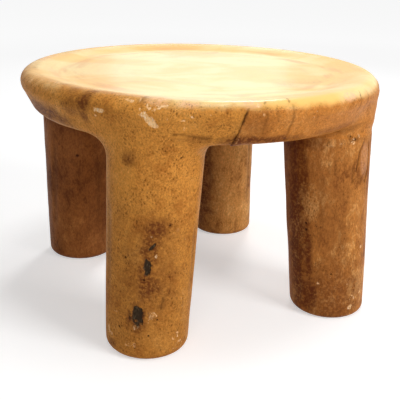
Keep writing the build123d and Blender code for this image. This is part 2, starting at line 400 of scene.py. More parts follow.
def net_table(fine_zones):
    """The finished skin as points and triangles, and a label for each triangle."""
    reach = TOP_RADIUS + NET_SIDE_MARGIN
    low = np.array([-reach, -reach, -NET_END_MARGIN])
    high = np.array([reach, reach, TABLE_HEIGHT + NET_END_MARGIN])
    points, quads = surface_net(table_distance, low, high, NET_STEP)
    points = pull_to_zero(table_distance, points)
    edges = {"rim_band_skin": band_edge, "bare_middle": bare_edge}
    edges |= {f"leg_skin_{side}": sleeve_edge(side) for side in SIDES}
    edges |= {f"sole_{side}": sole_edge(side) for side in SIDES}
    on_edge = np.zeros(len(points), bool)
    for edge in edges.values():
        on_edge |= snap_to_edge(points, edge, NET_STEP)
    triangles = cut_quads(quads, on_edge)
    middle = points[triangles].mean(1)
    label = np.full(len(triangles), "top_skin", dtype=object)
    for name, edge in edges.items():
        label[edge(*middle.T) < 0] = name
    for _ in range(2):
        label = join_strays(triangles, label, len(points))
    for zone in fine_zones:
        before = len(points)
        chosen = zone(points[triangles].mean(1))
        points, triangles, label = split_triangles(points, triangles, label, chosen)
        points[before:] = pull_to_zero(table_distance, points[before:], 2)
    return points, triangles, label


# ================================================================ what time did to the hide
LATTICE_SIDE = 32
LATTICE = np.random.default_rng(11).uniform(-1, 1, (LATTICE_SIDE,) * 3)
DRAW_SHIFT = 5.37             # cells of the lattice between one draw and the next
MARKS = ("stain", "scuff", "char", "blush", "grime", "sun")
LEG_GIRTH_RADIUS = 70.0
LEG_PATCH_REACH = 30.0        # a leg's marks end this far outside it
RIM_PATCH_DROP = 12.0         # the rim's marks end this far below the underside


def noise(points, size, draw=0):
    """Smooth lumps of a size, from -1 to 1. Each draw is another pattern."""
    place = points / size + draw * DRAW_SHIFT
    cell = np.floor(place).astype(int)
    t = place - cell
    t = t * t * (3 - 2 * t)
    total = np.zeros(len(points))
    for corner in product((0, 1), repeat=3):
        weight = np.where(corner, t, 1 - t).prod(1)
        i, j, k = ((cell + corner) % LATTICE_SIDE).T
        total += weight * LATTICE[i, j, k]
    return total


def turn_past(azimuth, x, y):
    """The turn from an azimuth to where points lie, from -pi to pi."""
    return (np.arctan2(x, -y) - radians(azimuth) + pi) % (2 * pi) - pi


def turned(across, up, lean):
    """The same distances, measured in directions leant to the right by some degrees."""
    c, s = cos(radians(lean)), sin(radians(lean))
    return across * c - up * s, across * s + up * c


def leg_patch(side, turn, height, points, lean=0):
    """How far points are from a place on a leg's skin, to the right and up."""
    x, y, z = points.T
    cx, cy = leg_centre(side, np.minimum(z, UNDERSIDE_Z))
    here = np.hypot(x - cx, y - cy) < LEG_TOP_RADIUS + LEG_PATCH_REACH
    across = np.where(here, turn_past(turn, x - cx, y - cy) * LEG_GIRTH_RADIUS, FAR)
    return turned(across, z - height, lean)


def rim_patch(azimuth, height, points, lean=0):
    """How far points are from a place on the rim, to the right and up, going on over its crest."""
    x, y, z = points.T
    rho = np.hypot(x, y)
    here = (rho > DISH_CIRCLE) & (z > UNDERSIDE_Z - RIM_PATCH_DROP)
    across = np.where(here, turn_past(azimuth, x, y) * TOP_RADIUS, FAR)
    onto_top = np.maximum(CREST_CIRCLE - rho, 0) * (z > SHOULDER_Z)
    under = np.maximum(ROLL_CIRCLE - rho, 0) * (z < ROLL_Z)
    return turned(across, z + onto_top - under - height, lean)


def oval(across, up, wide, tall, ragged=0.0, core=0.8, rim=1.2):
    """1 inside an oval of these half sizes, falling off to 0 between its core and its rim."""
    return 1 - smooth_step(core, rim, np.hypot(across / wide, up / tall) + ragged)


def groove(across, up, width, length):
    """1 on an upright line of a length, fading at its sides and ends."""
    return bell(across, width) * (1 - smooth_step(0.75 * length, length, 2 * np.abs(up)))


def lay_mark(marks, kind, strength):
    """A place keeps the strongest mark of a kind that is laid on it."""
    marks[kind] = np.maximum(marks[kind], strength)


# Places on a leg are given by a turn about its axis, in degrees from the front towards the
# right, and a height. Leans are in degrees too, to the right.

# Holes in the front leg: turn, height, half width, half height, lean.
HOLES = (
    (4, 185.3, 2.3, 7.2, 41), (-0.9, 153.5, 5.4, 12.6, 0), (-12.6, 76, 10.6, 13.6, 0),
)
HOLE_DEPTH = 2.2
HOLE_ROLL = 2.5               # the rolled edge round a hole
HOLE_HALO = (6, 8)            # the stain round a hole reaches this far beyond it, sideways and up

# Soaked patches and painted shade on the legs: turn, height, half width, half height, strength.
SOAKED_AND_SHADED = on_legs(
    front=(
        (8, 212, 20, 20, 0.95), (1, 178, 20, 38, 0.9), (-2, 126, 26, 42, 0.95), (22, 120, 30, 52, 0.6),
        (-11, 72, 19, 28, 1), (2, 136, 54, 100, 0.6), (-27.7, 314, 12, 12, 0.7), (24.1, 216, 4, 6, 0.8),
        (-38, 228, 18, 26, 0.28), (-54, 18, 14, 9, 0.75), (-6, 60, 110, 140, 0.32),
        (-62, 150, 26, 120, 0.3),
    ),
    # Painted shade: the rows at turns -74, -60, -56, -36 (118 high) and -30 darken the leg's left side and
    # its top under the rim.
    right=(
        (-40.5, 250, 10, 62, 0.9), (-36.5, 165, 8, 22, 0.75), (-34.5, 122, 4.5, 48, 0.95),
        (-53.5, 130, 4, 70, 0.85), (-38, 38, 26, 38, 1), (-74, 160, 24, 190, 0.6), (-60, 302, 38, 26, 1),
        (-13, 237, 9, 16, 0.35), (-56, 150, 26, 220, 1), (-36, 118, 9, 80, 1), (-30, 300, 40, 14, 0.55),
        (-12, 187, 8, 18, 0.4), (4, 120, 26, 80, 0.42), (6, 40, 60, 70, 0.7), (-8, 220, 40, 120, 0.3),
        (120, 170, 22, 90, 0.45),
    ),
    # Painted shade: the row at turn -10, 304 high, darkens the leg's top under the rim.
    left=(
        (1, 227.5, 4, 4, 0.8), (-10, 304, 60, 30, 0.7), (0, 160, 60, 60, 0.15), (-70, 140, 20, 80, 0.45),
        (60, 90, 18, 50, 0.4),
    ),
    # Painted shade: the row at turn -50 darkens the leg's left half.
    back=((-50, 170, 52, 200, 1), (160, 120, 22, 60, 0.5), (95, 210, 14, 40, 0.4)),
)

# Dark dots driven or burnt into the legs: turn, height, half size.
DOTS = on_legs(
    front=(
        (-4.9, 133.9, 1.6), (24.1, 216.5, 1.7), (-30, 164.8, 1.7), (14.4, 69.6, 1.5), (-38.7, 51.4, 1.8),
        (3.7, 44, 1.4), (31.1, 315.8, 1.6),
    ),
    right=((-38.4, 165.6, 2.2), (-38.4, 155.2, 1.9), (28.5, 309, 2.2), (21, 314.8, 1.8), (-2, 82.9, 1.6)),
    back=((171, 96, 2.6),),
    left=((1, 227.5, 2), (-96, 180, 2.2)),
)

# Ring-shaped marks: kind, side, turn, height, radius, strength.
RINGS = (
    ("stain", "front", -4.9, 133.9, 3.4, 1), ("scuff", "front", 43, 35.5, 6.5, 1),
    ("stain", "right", -1.9, 86, 8, 0.6), ("scuff", "right", 34, 34.3, 5, 0.9),
    ("stain", "left", -60, 120, 9, 0.6), ("stain", "back", 140, 150, 10, 0.6),
)

# Rubbed pale patches on the legs: turn, height, half width, half height, lean, strength.
RUBBED = on_legs(
    front=(
        (7.7, 76, 8.5, 7, 0, 0.72), (1.5, 68.8, 5, 5, 0, 0.45), (-14.6, 56.4, 5.5, 3.5, -30, 0.8),
        (-60, 36, 5.5, 9, -10, 0.95), (-54, 30.5, 5.5, 3.2, 0, 0.9), (-18.9, 26.4, 13, 6, 0, 0.55),
        (50, 18, 14, 8, 0, 0.5), (-40, 76, 9, 1.8, -15, 0.6), (2.5, 200.9, 2.4, 2.4, 0, 0.7),
        (9, 170.5, 2, 3, 0, 0.7), (31.6, 173.2, 3.4, 2.4, 0, 0.6), (47, 190, 2.4, 3, 0, 0.6),
        (34, 205, 4, 14, 65, 0.42), (51, 88, 2.8, 28, 0, 0.45),
    ),
    right=(
        (49, 122.6, 4, 3.4, 0, 1.3), (-21.8, 64, 2.6, 2.6, 0, 1), (23, 64.1, 2.6, 2.6, 0, 0.75),
        (30.6, 20.7, 5.2, 5, 0, 1.3), (52.5, 40.3, 2.8, 5, 0, 0.85), (-4.5, 77.4, 2.6, 1.8, 0, 0.65),
        (-4, 300, 5, 2.6, 0, 0.6), (9.7, 303.4, 4, 2.5, 0, 0.6), (24.2, 303.5, 5.5, 3, 0, 0.75),
        (24.7, 311.2, 4, 1.8, 20, 0.85), (33.3, 314.9, 4.5, 2.2, 60, 0.9), (-30, 226, 1.6, 1.6, 0, 0.8),
    ),
    back=((130, 60, 9, 6, 10, 0.6), (-150, 32, 7, 9, 0, 0.55)),
    left=((-80, 50, 8, 6, 0, 0.6), (-120, 226, 6, 3, 25, 0.5)),
)

# Rubbed patches on the rim: azimuth, height, half width, half height, lean, strength.
RIM_RUBBED = (
    (-12.7, 373.5, 5.6, 15.5, -49, 1), (-13, 390, 1.5, 8.5, -45, 0.95), (-10.6, 388.7, 1.7, 9, 61, 0.95),
    (-8.4, 392.5, 1.5, 6, 88, 0.85), (-18.9, 395.5, 1.5, 8, -82, 0.85), (-15.8, 397, 1.4, 6, -20, 0.8),
    (-11, 402, 15, 9, 0, 0.55), (-7.7, 375.4, 1.8, 3.2, 0, 0.75), (-3.8, 373.8, 2.4, 2.2, 0, 0.8),
    (-1.5, 378.8, 1.3, 3.6, -65, 0.85), (-3.7, 361.5, 1.6, 3, 0, 0.8), (3.1, 384.3, 1.5, 3.5, 0, 0.65),
    (-27, 378, 3.2, 11.5, 93, 0.85), (-28.8, 369.8, 2, 2, 0, 0.9), (-61, 392, 5, 4, 0, 0.6),
    (15.8, 394, 2.2, 4, -20, 0.8), (14.6, 386, 1.8, 2.6, 0, 0.75), (17, 382, 1.6, 2.8, 0, 0.75),
    (33, 376, 1.8, 8, 20, 0.5), (-96, 388, 16, 6, 0, 0.7), (-141, 372, 9, 5, 10, 0.6),
    (165, 386, 18, 6, 0, 0.7), (150, 364, 6, 9, 20, 0.6), (108, 390, 14, 5, 0, 0.6),
)

# Soaked patches on the rim, and painted shade along its lower edge: azimuth, height, half width, half
# height, strength.
RIM_SOAKED_AND_SHADED = (
    # Painted shade: the rows from 341 to 351 high darken the rim's lower edge.
    (-32.5, 385, 15, 15, 0.9), (-33, 366, 9, 12, 0.75), (-38, 376, 18, 22, 0.5), (-54, 351, 90, 16, 0.9),
    (-15.2, 396, 6, 5, 0.5), (15, 366, 26, 34, 0.4), (12.5, 342, 34, 10, 1), (0, 344, 36, 6, 0.5),
    (7, 342, 16, 7, 0.6), (20, 341, 60, 6.5, 0.85), (46, 343, 70, 6, 0.45), (-120, 366, 22, 20, 0.55),
    (172, 366, 26, 20, 0.45), (118, 366, 12, 24, 0.5),
)

# Creases pulled down the rim: azimuth, height, length, depth, lean.
RIM_CREASES = (
    (-1.5, 349.5, 66, 0.9, 98.3), (17.8, 371, 46, 0.5, 1), (21, 380, 22, 0.35, -8), (25.7, 370, 52, 0.8, 2),
    (34, 370, 30, 0.25, -5), (53.4, 378, 30, 0.6, 4), (58.5, 372, 50, 0.45, 6), (66, 366, 44, 0.45, 4),
    (78, 372, 44, 0.6, -3), (92, 370, 40, 0.55, 3), (104, 376, 36, 0.5, -6), (121, 372, 44, 0.55, 2),
    (-41, 376, 36, 0.2, -4), (-104, 370, 40, 0.55, -4), (-150, 374, 44, 0.6, 3), (178, 372, 40, 0.55, -3),
    (156, 370, 38, 0.5, 4),
)

# Short cuts and nicks in the rim's edge: azimuth, height, half length, lean, depth.
RIM_NICKS = (
    (25.3, 398, 4.2, 38, 1.2), (54, 391, 5, 40, 1.2), (17.9, 396.5, 2.6, 70, 1.1), (-133, 395, 5, 50, 1.4),
    (144, 396, 6, -50, 1.4),
)

# Pinkish worn places on the shoulder, and painted highlights on the right shoulder: azimuth, height, half
# width, half height, strength.
BLUSHES_AND_HIGHLIGHTS = (
    # Painted highlight: the rows at azimuths 48.5 and 62 paint the pink and white highlight on the right
    # shoulder.
    (48.5, 391.5, 26, 6, 1), (62, 392, 30, 6, 0.5), (14.5, 395, 15, 5, 0.8), (-11, 400, 18, 10, 0.7),
    (-3, 395, 16, 5, 0.7), (-100, 396, 40, 8, 0.6), (160, 396, 50, 8, 0.6),
)

# Gathers where a sleeve was drawn in at its neck: turn, height, length, depth, lean.
GATHERS = on_legs(
    right=(
        (25, 308, 14, 1.2, 50), (31, 311, 14, 0.9, 30), (19, 313, 12, 0.9, -30), (9, 302, 14, 0.6, 20),
        (0.7, 265, 28, 0.7, 0), (26.2, 250, 28, 0.8, 2), (-6, 303, 14, 0.5, -16), (84, 290, 44, 0.9, -4),
        (100, 294, 36, 1, 6), (128, 292, 40, 0.9, -8),
    ),
    left=(
        (-150, 296, 36, 1.1, 6), (-120, 298, 30, 1, -10), (-88, 294, 40, 1.1, 4), (-60, 298, 30, 0.9, -6),
        (-20, 297, 30, 0.8, 5), (18, 299, 24, 0.7, -5),
    ),
    back=(
        (175, 294, 42, 1.1, 5), (-160, 297, 34, 1, -8), (140, 298, 30, 1, 7), (104, 295, 34, 0.9, -5),
        (-120, 298, 30, 0.9, 4), (20, 299, 26, 0.6, -4),
    ),
)

# The leaf-shaped fold on the right leg: its strokes' turn, height, length, lean.
LEAF_LINES = (
    (41, 294.5, 26, 30), (35, 275, 24, 9), (32.8, 261, 16, 14), (58.5, 283, 34, -6), (59.4, 262, 22, 6),
    (54.5, 244, 26, 25),
)
LEAF_MIDDLE = (47, 274, 10, 28)   # turn, height, half width, half height

# Long shallow pulls down the legs: turn, height, length, depth, lean.
PULLS = on_legs(
    front=(
        (19.1, 95, 27, 0.9, 13), (52, 82, 40, -0.5, 2), (-62, 170, 150, 0.5, 1), (70, 150, 120, 0.5, -2),
    ),
    right=(
        (-16, 210, 90, 0.45, 2), (12, 150, 70, 0.35, -3), (90, 150, 180, 0.8, 2), (140, 160, 170, 0.7, -2),
    ),
    left=((-40, 160, 190, 0.7, 2), (35, 150, 160, 0.5, -2), (-110, 140, 170, 0.8, 3)),
    back=(
        (60, 150, 160, 0.6, 2), (120, 160, 180, 0.7, -3), (-140, 150, 170, 0.7, 2), (-20, 170, 150, 0.4, 1),
    ),
)

# Places on the legs that stand out: turn, height, half width, half height, how far.
BULGES = on_legs(
    front=((-80, 30, 40, 130, 2.6),),
    right=((84, 352, 30, 14, 1.5),),
    back=((150, 60, 40, 60, 1.2),),
)

GATHER_WIDTH = 2.2
PULL_WIDTH = 5.0
LONG_PULL = 60                # pulls from this length on are wide
CREASE_WIDTH = 2.0
CREASE_RIDGE = 5.5            # from a crease's middle to the ridges at its sides
CREASE_RIDGE_WIDTH = 3.5
NICK_WIDTH = 1.2              # half of it
LEAF_LINE_WIDTH = 1.3
LEAF_LINE_DEPTH = 1.3
RUBBED_DEPTH = 0.35

SWELLS = ((130.0, 0.95, 1), (46.0, 0.50, 2), (16.0, 0.16, 3))   # size, amount, draw
SWELL_BIAS = 0.7
DEEPEST = 1.8                 # the hide lies over the wood everywhere
NECK_CALM = 1.3               # how much less the skin may lie in over the joints than elsewhere
NECK_CALM_SPAN = (45.0, 8.0)  # where that comes in, below the underside
CREST_CALM = 0.55             # the share of the relief that the crest is without
CREST_CALM_END = 6.0          # from this far below the crest on
FOOT_CALM_SPAN = (0.5, 16.0)  # heights over which the relief comes in at a foot
LAP_REACH = 22.0
FRONT_LAP_RISE = 1.5
BACK_LAP_RISE = 1.3
BAND_TOP_RISE = 0.7
SLEEVE_LAP_RISE = 1.3
NECK_LAP_RISE = 0.15
TORN_HALF_WIDTH = 34.0        # of the torn upper edge of the front leg's sleeve, which is also a painted highlight


# How high up the rim the bleached top, which is also painted light from above, ends, and how softly:
# azimuth, height, softness.
# Heights go on over the crest as if the top were unrolled upwards.
BLEACH_AND_LIGHT_EDGE = (
    (-180, 396, 8), (-110, 396, 8), (-75, 396, 9), (-60, 397, 12), (-48, 402, 15), (-38, 408, 17),
    (-26, 411, 18), (-18, 407, 16), (-12, 400, 12), (-6, 396, 9), (0, 395, 7), (12, 393, 7), (25, 390, 7),
    (45, 388, 6), (65, 388, 6), (90, 389, 7), (130, 394, 8), (180, 396, 8),
)


def bleached_and_lit(points):
    """How pale a place is: the top is bleached and worn, and painted light where light from above falls on
    it.
    """
    x, y, z = points.T
    azimuths, heights, softness = np.array(BLEACH_AND_LIGHT_EDGE, float).T
    azimuth = np.degrees(np.arctan2(x, -y))
    edge, soft = np.interp(azimuth, azimuths, heights), np.interp(azimuth, azimuths, softness)
    up = z + np.maximum(CREST_CIRCLE - np.hypot(x, y), 0) * (z > SHOULDER_Z)
    up += (2.0 * noise(points, 24.0, 8) + 2.0 * noise(points, 7.0, 17)) * soft / 7
    return smooth_step(-1.0, 1.0, (up - edge) / soft)


def mark_legs(points, marks, relief):
    """Holes, soaked and rubbed places, gathers and pulls on the four sleeves, with painted shade on the
    legs' shaded sides, under the rim and in the gathers and pulls.
    """
    ragged = 0.38 * noise(points, 5.0, 4) + 0.22 * noise(points, 2.2, 5)
    wisps = 0.5 * noise(points, 12.0, 6)
    for turn, height, wide, tall, lean in HOLES:
        across, up = leg_patch("front", turn, height, points, lean)
        inside = oval(across, up, wide, tall, ragged)
        rolled = oval(across, up, wide + HOLE_ROLL, tall + HOLE_ROLL, ragged) - inside
        relief += 0.5 * rolled - HOLE_DEPTH * inside
        lay_mark(marks, "char", inside)
        halo = oval(across, up, wide + HOLE_HALO[0], tall + HOLE_HALO[1], 2 * ragged)
        lay_mark(marks, "stain", 0.7 * halo)
    for side, turn, height, wide, tall, strength in SOAKED_AND_SHADED:
        across, up = leg_patch(side, turn, height, points)
        lay_mark(marks, "stain", strength * oval(across, up, wide, tall, 0.5 * wisps, 0.3, 1.5))
    for side, turn, height, size in DOTS:
        inside = oval(*leg_patch(side, turn, height, points), size, size, ragged)
        relief -= inside
        lay_mark(marks, "grime", inside)
    broken = smooth_step(-0.5, 0.2, noise(points, 9.0, 19))
    for kind, side, turn, height, radius, strength in RINGS:
        away = np.hypot(*leg_patch(side, turn, height, points))
        ring = bell(away - radius * (1 + 0.3 * ragged), 1.3) * broken
        lay_mark(marks, kind, strength * ring)
    for side, turn, height, wide, tall, amount in BULGES:
        across, up = leg_patch(side, turn, height, points)
        relief += amount * bell(np.hypot(across / wide, up / tall), 1.0)
    for side, turn, height, wide, tall, lean, strength in RUBBED:
        across, up = leg_patch(side, turn, height, points, lean)
        lay_mark(marks, "scuff", 0.75 * strength * oval(across, up, wide, tall, 1.3 * ragged))
    for side, turn, height, length, depth, lean in GATHERS + PULLS:
        across, up = leg_patch(side, turn, height, points, lean)
        width = GATHER_WIDTH if length < LONG_PULL else PULL_WIDTH
        line = groove(across + 1.6 * wisps, up, width, length)
        ridges = groove(np.abs(across) - 2.2 * width, up, width, length)
        relief += depth * (0.45 * ridges - line)
        # Painted shade: a gather's or pull's line is darkened by its depth.
        lay_mark(marks, "grime", 0.55 * abs(depth) * line)


def mark_leaf(points, marks, relief):
    """The leaf-shaped fold on the right leg's outer side, with painted shade in its lines."""
    wisps = noise(points, 12.0, 7)
    for turn, height, length, lean in LEAF_LINES:
        across, up = leg_patch("right", turn, height, points, lean)
        line = groove(across + 0.5 * wisps, up, LEAF_LINE_WIDTH, length)
        relief -= LEAF_LINE_DEPTH * line
        # Painted shade in the leaf's lines.
        lay_mark(marks, "grime", 0.80 * line)
    turn, height, wide, tall = LEAF_MIDDLE
    leaf = oval(*leg_patch("right", turn, height, points), wide, tall)
    relief += leaf
    lay_mark(marks, "blush", 0.30 * leaf)


def mark_rim(points, marks, relief):
    """Rubbed, soaked and blushed places, creases and nicks round the rim, with painted shade along its lower
    edge and in its creases and nicks, and painted highlights on its right shoulder.
    """
    ragged = 0.40 * noise(points, 6.0, 9) + 0.2 * noise(points, 2.6, 10)
    wisps = noise(points, 14.0, 12)
    for azimuth, height, wide, tall, lean, strength in RIM_RUBBED:
        across, up = rim_patch(azimuth, height, points, lean)
        rubbed = strength * oval(across, up, wide, tall, ragged)
        lay_mark(marks, "scuff", rubbed)
        relief -= RUBBED_DEPTH * rubbed
    for azimuth, height, wide, tall, strength in RIM_SOAKED_AND_SHADED:
        across, up = rim_patch(azimuth, height, points)
        lay_mark(marks, "stain", strength * oval(across, up, wide, tall, 0.3 * wisps, 0.3, 1.4))
    for azimuth, height, length, depth, lean in RIM_CREASES:
        across, up = rim_patch(azimuth, height, points, lean)
        line = groove(across + 1.2 * wisps, up, CREASE_WIDTH, length)
        ridges = groove(np.abs(across) - CREASE_RIDGE, up, CREASE_RIDGE_WIDTH, length)
        relief += depth * (0.4 * ridges - line)
        # Painted shade: a crease's groove is darkened by its depth.
        lay_mark(marks, "grime", 0.6 * depth * line)
    for azimuth, height, half_length, lean, depth in RIM_NICKS:
        nick = oval(*rim_patch(azimuth, height, points, lean), NICK_WIDTH, half_length, ragged)
        relief -= depth * nick
        # Painted shade in the nick.
        lay_mark(marks, "grime", 0.6 * nick)
    cloudy = 0.3 * noise(points, 9.0, 13)
    for azimuth, height, wide, tall, strength in BLUSHES_AND_HIGHLIGHTS:
        across, up = rim_patch(azimuth, height, points)
        lay_mark(marks, "blush", strength * oval(across, up, wide, tall, cloudy, 0.2, 1.4))


def mark_edges(points, marks):
    """Dirt along the seams, painted shade in the corner under the rim, and torn edges of hide that also
    carry painted highlights.
    """
    x, y, z = points.T
    on_rim = (z > UNDERSIDE_Z) & (z < BAND_TOP_Z + 4) & (np.hypot(x, y) > DISH_CIRCLE)
    azimuth = np.degrees(np.arctan2(x, -y))
    uneven = noise(points, 9.0, 20)
    broken = smooth_step(0.0, 0.5, noise(points, 12.0, 21))
    for plane, middle in zip(seam_planes(x, y, z), (FRONT_SEAM_HEAD, BACK_SEAM)):
        near = on_rim * (np.abs(azimuth - middle) < 60)
        seam = bell(plane + 0.6, 0.9 + 0.5 * uneven) * near * (0.75 + 0.4 * uneven)
        # Painted highlight: a pale line along the band's raised edge beside the seam, torn as well.
        torn = bell(plane + 4.0, 0.9) * near * broken
        lay_mark(marks, "scuff", 0.5 * torn)
        lay_mark(marks, "grime", seam)
    corner = np.abs(top_distance(x, y, z))
    reach = np.full(len(points), FAR)
    for side in SIDES[1:]:
        reach = np.minimum(reach, np.abs(leg_distance(side, x, y, z)))
    # Painted shade in the corner under the rim, where the right, back and left legs meet it.
    lay_mark(marks, "grime", 0.65 * (bell(corner, 9.0) * bell(reach, 9.0) * (z < UNDERSIDE_Z + 6)))
    # Painted highlight: the pale upper edge of the front leg's sleeve, torn and rubbed as well.
    across, up = leg_patch("front", -30.0, SLEEVE_TOP["front"] - 2.0, points)
    torn = bell(up + 5.0 * (across / TORN_HALF_WIDTH) ** 2, 1.0) * (np.abs(across) < TORN_HALF_WIDTH)
    lay_mark(marks, "scuff", 0.8 * torn * smooth_step(-0.4, 0.2, noise(points, 14.0, 15)))


def lap(depth):
    """1 at a hide's edge, fading to 0 where the hide lies flat again."""
    return 1 - smooth_step(0, LAP_REACH, depth)


def lap_rise(name, points):
    """How far a hide stands proud near the edges where it lies over its neighbour."""
    rise = np.zeros(len(points))
    x, y, z = points.T
    if name == "rim_band_skin":
        front, back = seam_planes(x, y, z)
        rise += FRONT_LAP_RISE * lap(-front)
        rise += BACK_LAP_RISE * lap(-back)
        rise += BAND_TOP_RISE * lap(2 * (BAND_TOP_Z - z))
    if name.startswith("leg_skin_"):
        side = name.removeprefix("leg_skin_")
        rise += NECK_LAP_RISE * lap(SLEEVE_TOP[side] - z)
        across, _ = leg_patch(side, SLEEVE_LAP_TURN[side], 0.0, points)
        across += 0.9 * noise(points, 30.0, 16)
        rise += SLEEVE_LAP_RISE * ((across > 0) * lap(across)) * smooth_step(2.0, 14.0, z)
    return rise


def dress(points):
    """Every place's marks, and how far the skin there stands out or lies in."""
    z = points[:, 2]
    marks = {kind: np.zeros(len(points)) for kind in MARKS}
    relief = np.zeros(len(points))
    for size, amount, draw in SWELLS:
        relief += amount * noise(points, size, draw)
    relief -= SWELL_BIAS
    mark_legs(points, marks, relief)
    mark_leaf(points, marks, relief)
    mark_rim(points, marks, relief)
    mark_edges(points, marks)
    marks["sun"] = bleached_and_lit(points)
    calm = 1 - CREST_CALM * smooth_step(SHOULDER_Z, TABLE_HEIGHT - CREST_CALM_END, z)
    neck_low, neck_high = (UNDERSIDE_Z - drop for drop in NECK_CALM_SPAN)
    deepest = DEEPEST - NECK_CALM * smooth_step(neck_low, neck_high, z)
    relief = np.maximum(relief, -deepest) * calm * smooth_step(*FOOT_CALM_SPAN, z)
    return marks, relief


# ================================================================ where the net is finer
# How far the finer net reaches beyond each kind of mark.
FINE_REACH = {
    "hole": 9, "dot": 6, "seam": 6, "lap": 7, "neck": 4, "gather": 9, "leaf": 11, "crease": 5, "nick": 6,
}


def within(patch, wide, tall):
    """Where points lie in a rectangle of these half sizes."""
    across, up = patch
    return (np.abs(across) < wide) & (np.abs(up) < tall)


def near_holes(middle):
    """Round the holes and dots of the legs."""
    chosen = np.zeros(len(middle), bool)
    for turn, height, _, tall, _ in HOLES:
        chosen |= np.hypot(*leg_patch("front", turn, height, middle)) < tall + FINE_REACH["hole"]
    for side, turn, height, size in DOTS:
        chosen |= np.hypot(*leg_patch(side, turn, height, middle)) < size + FINE_REACH["dot"]
    return chosen


def near_seams(middle):
    """Along the seams, laps, gathers, creases and nicks, and round the holes."""
    chosen = near_holes(middle)
    x, y, z = middle.T
    front, back = seam_planes(x, y, z)
    on_rim = (z > UNDERSIDE_Z - 5) & (z < BAND_TOP_Z + 8) & (np.hypot(x, y) > DISH_CIRCLE)
    chosen |= on_rim & (np.minimum(np.abs(front), np.abs(back)) < FINE_REACH["seam"])
    for side in SIDES:
        across, _ = leg_patch(side, SLEEVE_LAP_TURN[side], 0.0, middle)
        on_leg = np.abs(across) < FAR / 2
        chosen |= (np.abs(across) < FINE_REACH["lap"]) & (z < SLEEVE_TOP[side] + FINE_REACH["neck"])
        chosen |= on_leg & (np.abs(z - SLEEVE_TOP[side]) < FINE_REACH["neck"])
    for side, turn, height, length, *_ in GATHERS:
        chosen |= within(leg_patch(side, turn, height, middle), FINE_REACH["gather"], length / 2)
    for turn, height, length, _ in LEAF_LINES:
        chosen |= within(leg_patch("right", turn, height, middle), FINE_REACH["leaf"], length / 2 + 4)
    for azimuth, height, length, *_ in RIM_CREASES:
        chosen |= within(rim_patch(azimuth, height, middle), FINE_REACH["crease"], length / 2)
    for azimuth, height, half_length, *_ in RIM_NICKS:
        chosen |= np.hypot(*rim_patch(azimuth, height, middle)) < half_length + FINE_REACH["nick"]
    return chosen


FINE_ZONES = (near_seams, near_holes)


# ================================================================ hides, wood and iron
HIDES = {"top_skin": "top_hide", "rim_band_skin": "rim_band_hide"}
HIDES |= {f"leg_skin_{side}": f"leg_sleeve_{side}" for side in SIDES}


# ---------------------------------------------------------------- colours
def rgb(red, green, blue):
    """A colour given in display values from 0 to 255, made linear."""
    parts = []
    for value in (red, green, blue):
        value /= 255
        parts.append(value / 12.92 if value <= 0.04045 else ((value + 0.055) / 1.055) ** 2.4)
    return (*parts, 1.0)


PALE_CLOUD = rgb(255, 223, 152)
ORANGE_STREAK_AND_WALL_SHADE = rgb(232, 152, 86)
SOAKED_AND_SHADE_BROWN = rgb(90, 39, 17)
BLUSH_AND_HIGHLIGHT_PINK = rgb(250, 194, 158)
PORE_BROWN = rgb(84, 44, 14)
GRIME_AND_SHADE_BROWN = rgb(54, 27, 10)
FLAKED_AND_GLINT_PALE = rgb(255, 206, 146)
FLAKED_AND_GLINT_WHITE = rgb(255, 240, 212)
HOLE_BLACK = rgb(58, 45, 33)
HOLE_GREY = rgb(126, 108, 82)
BLACK_IRON = rgb(66, 58, 52)
RUST = rgb(112, 58, 30)
LEG_BLEACHED_AND_LIT = rgb(220, 170, 110)
PALE_TONES = (rgb(224, 158, 78), rgb(206, 138, 60), rgb(172, 106, 42), rgb(255, 204, 118))
TONES = ("Light", "Mid", "Deep", "Bleached")


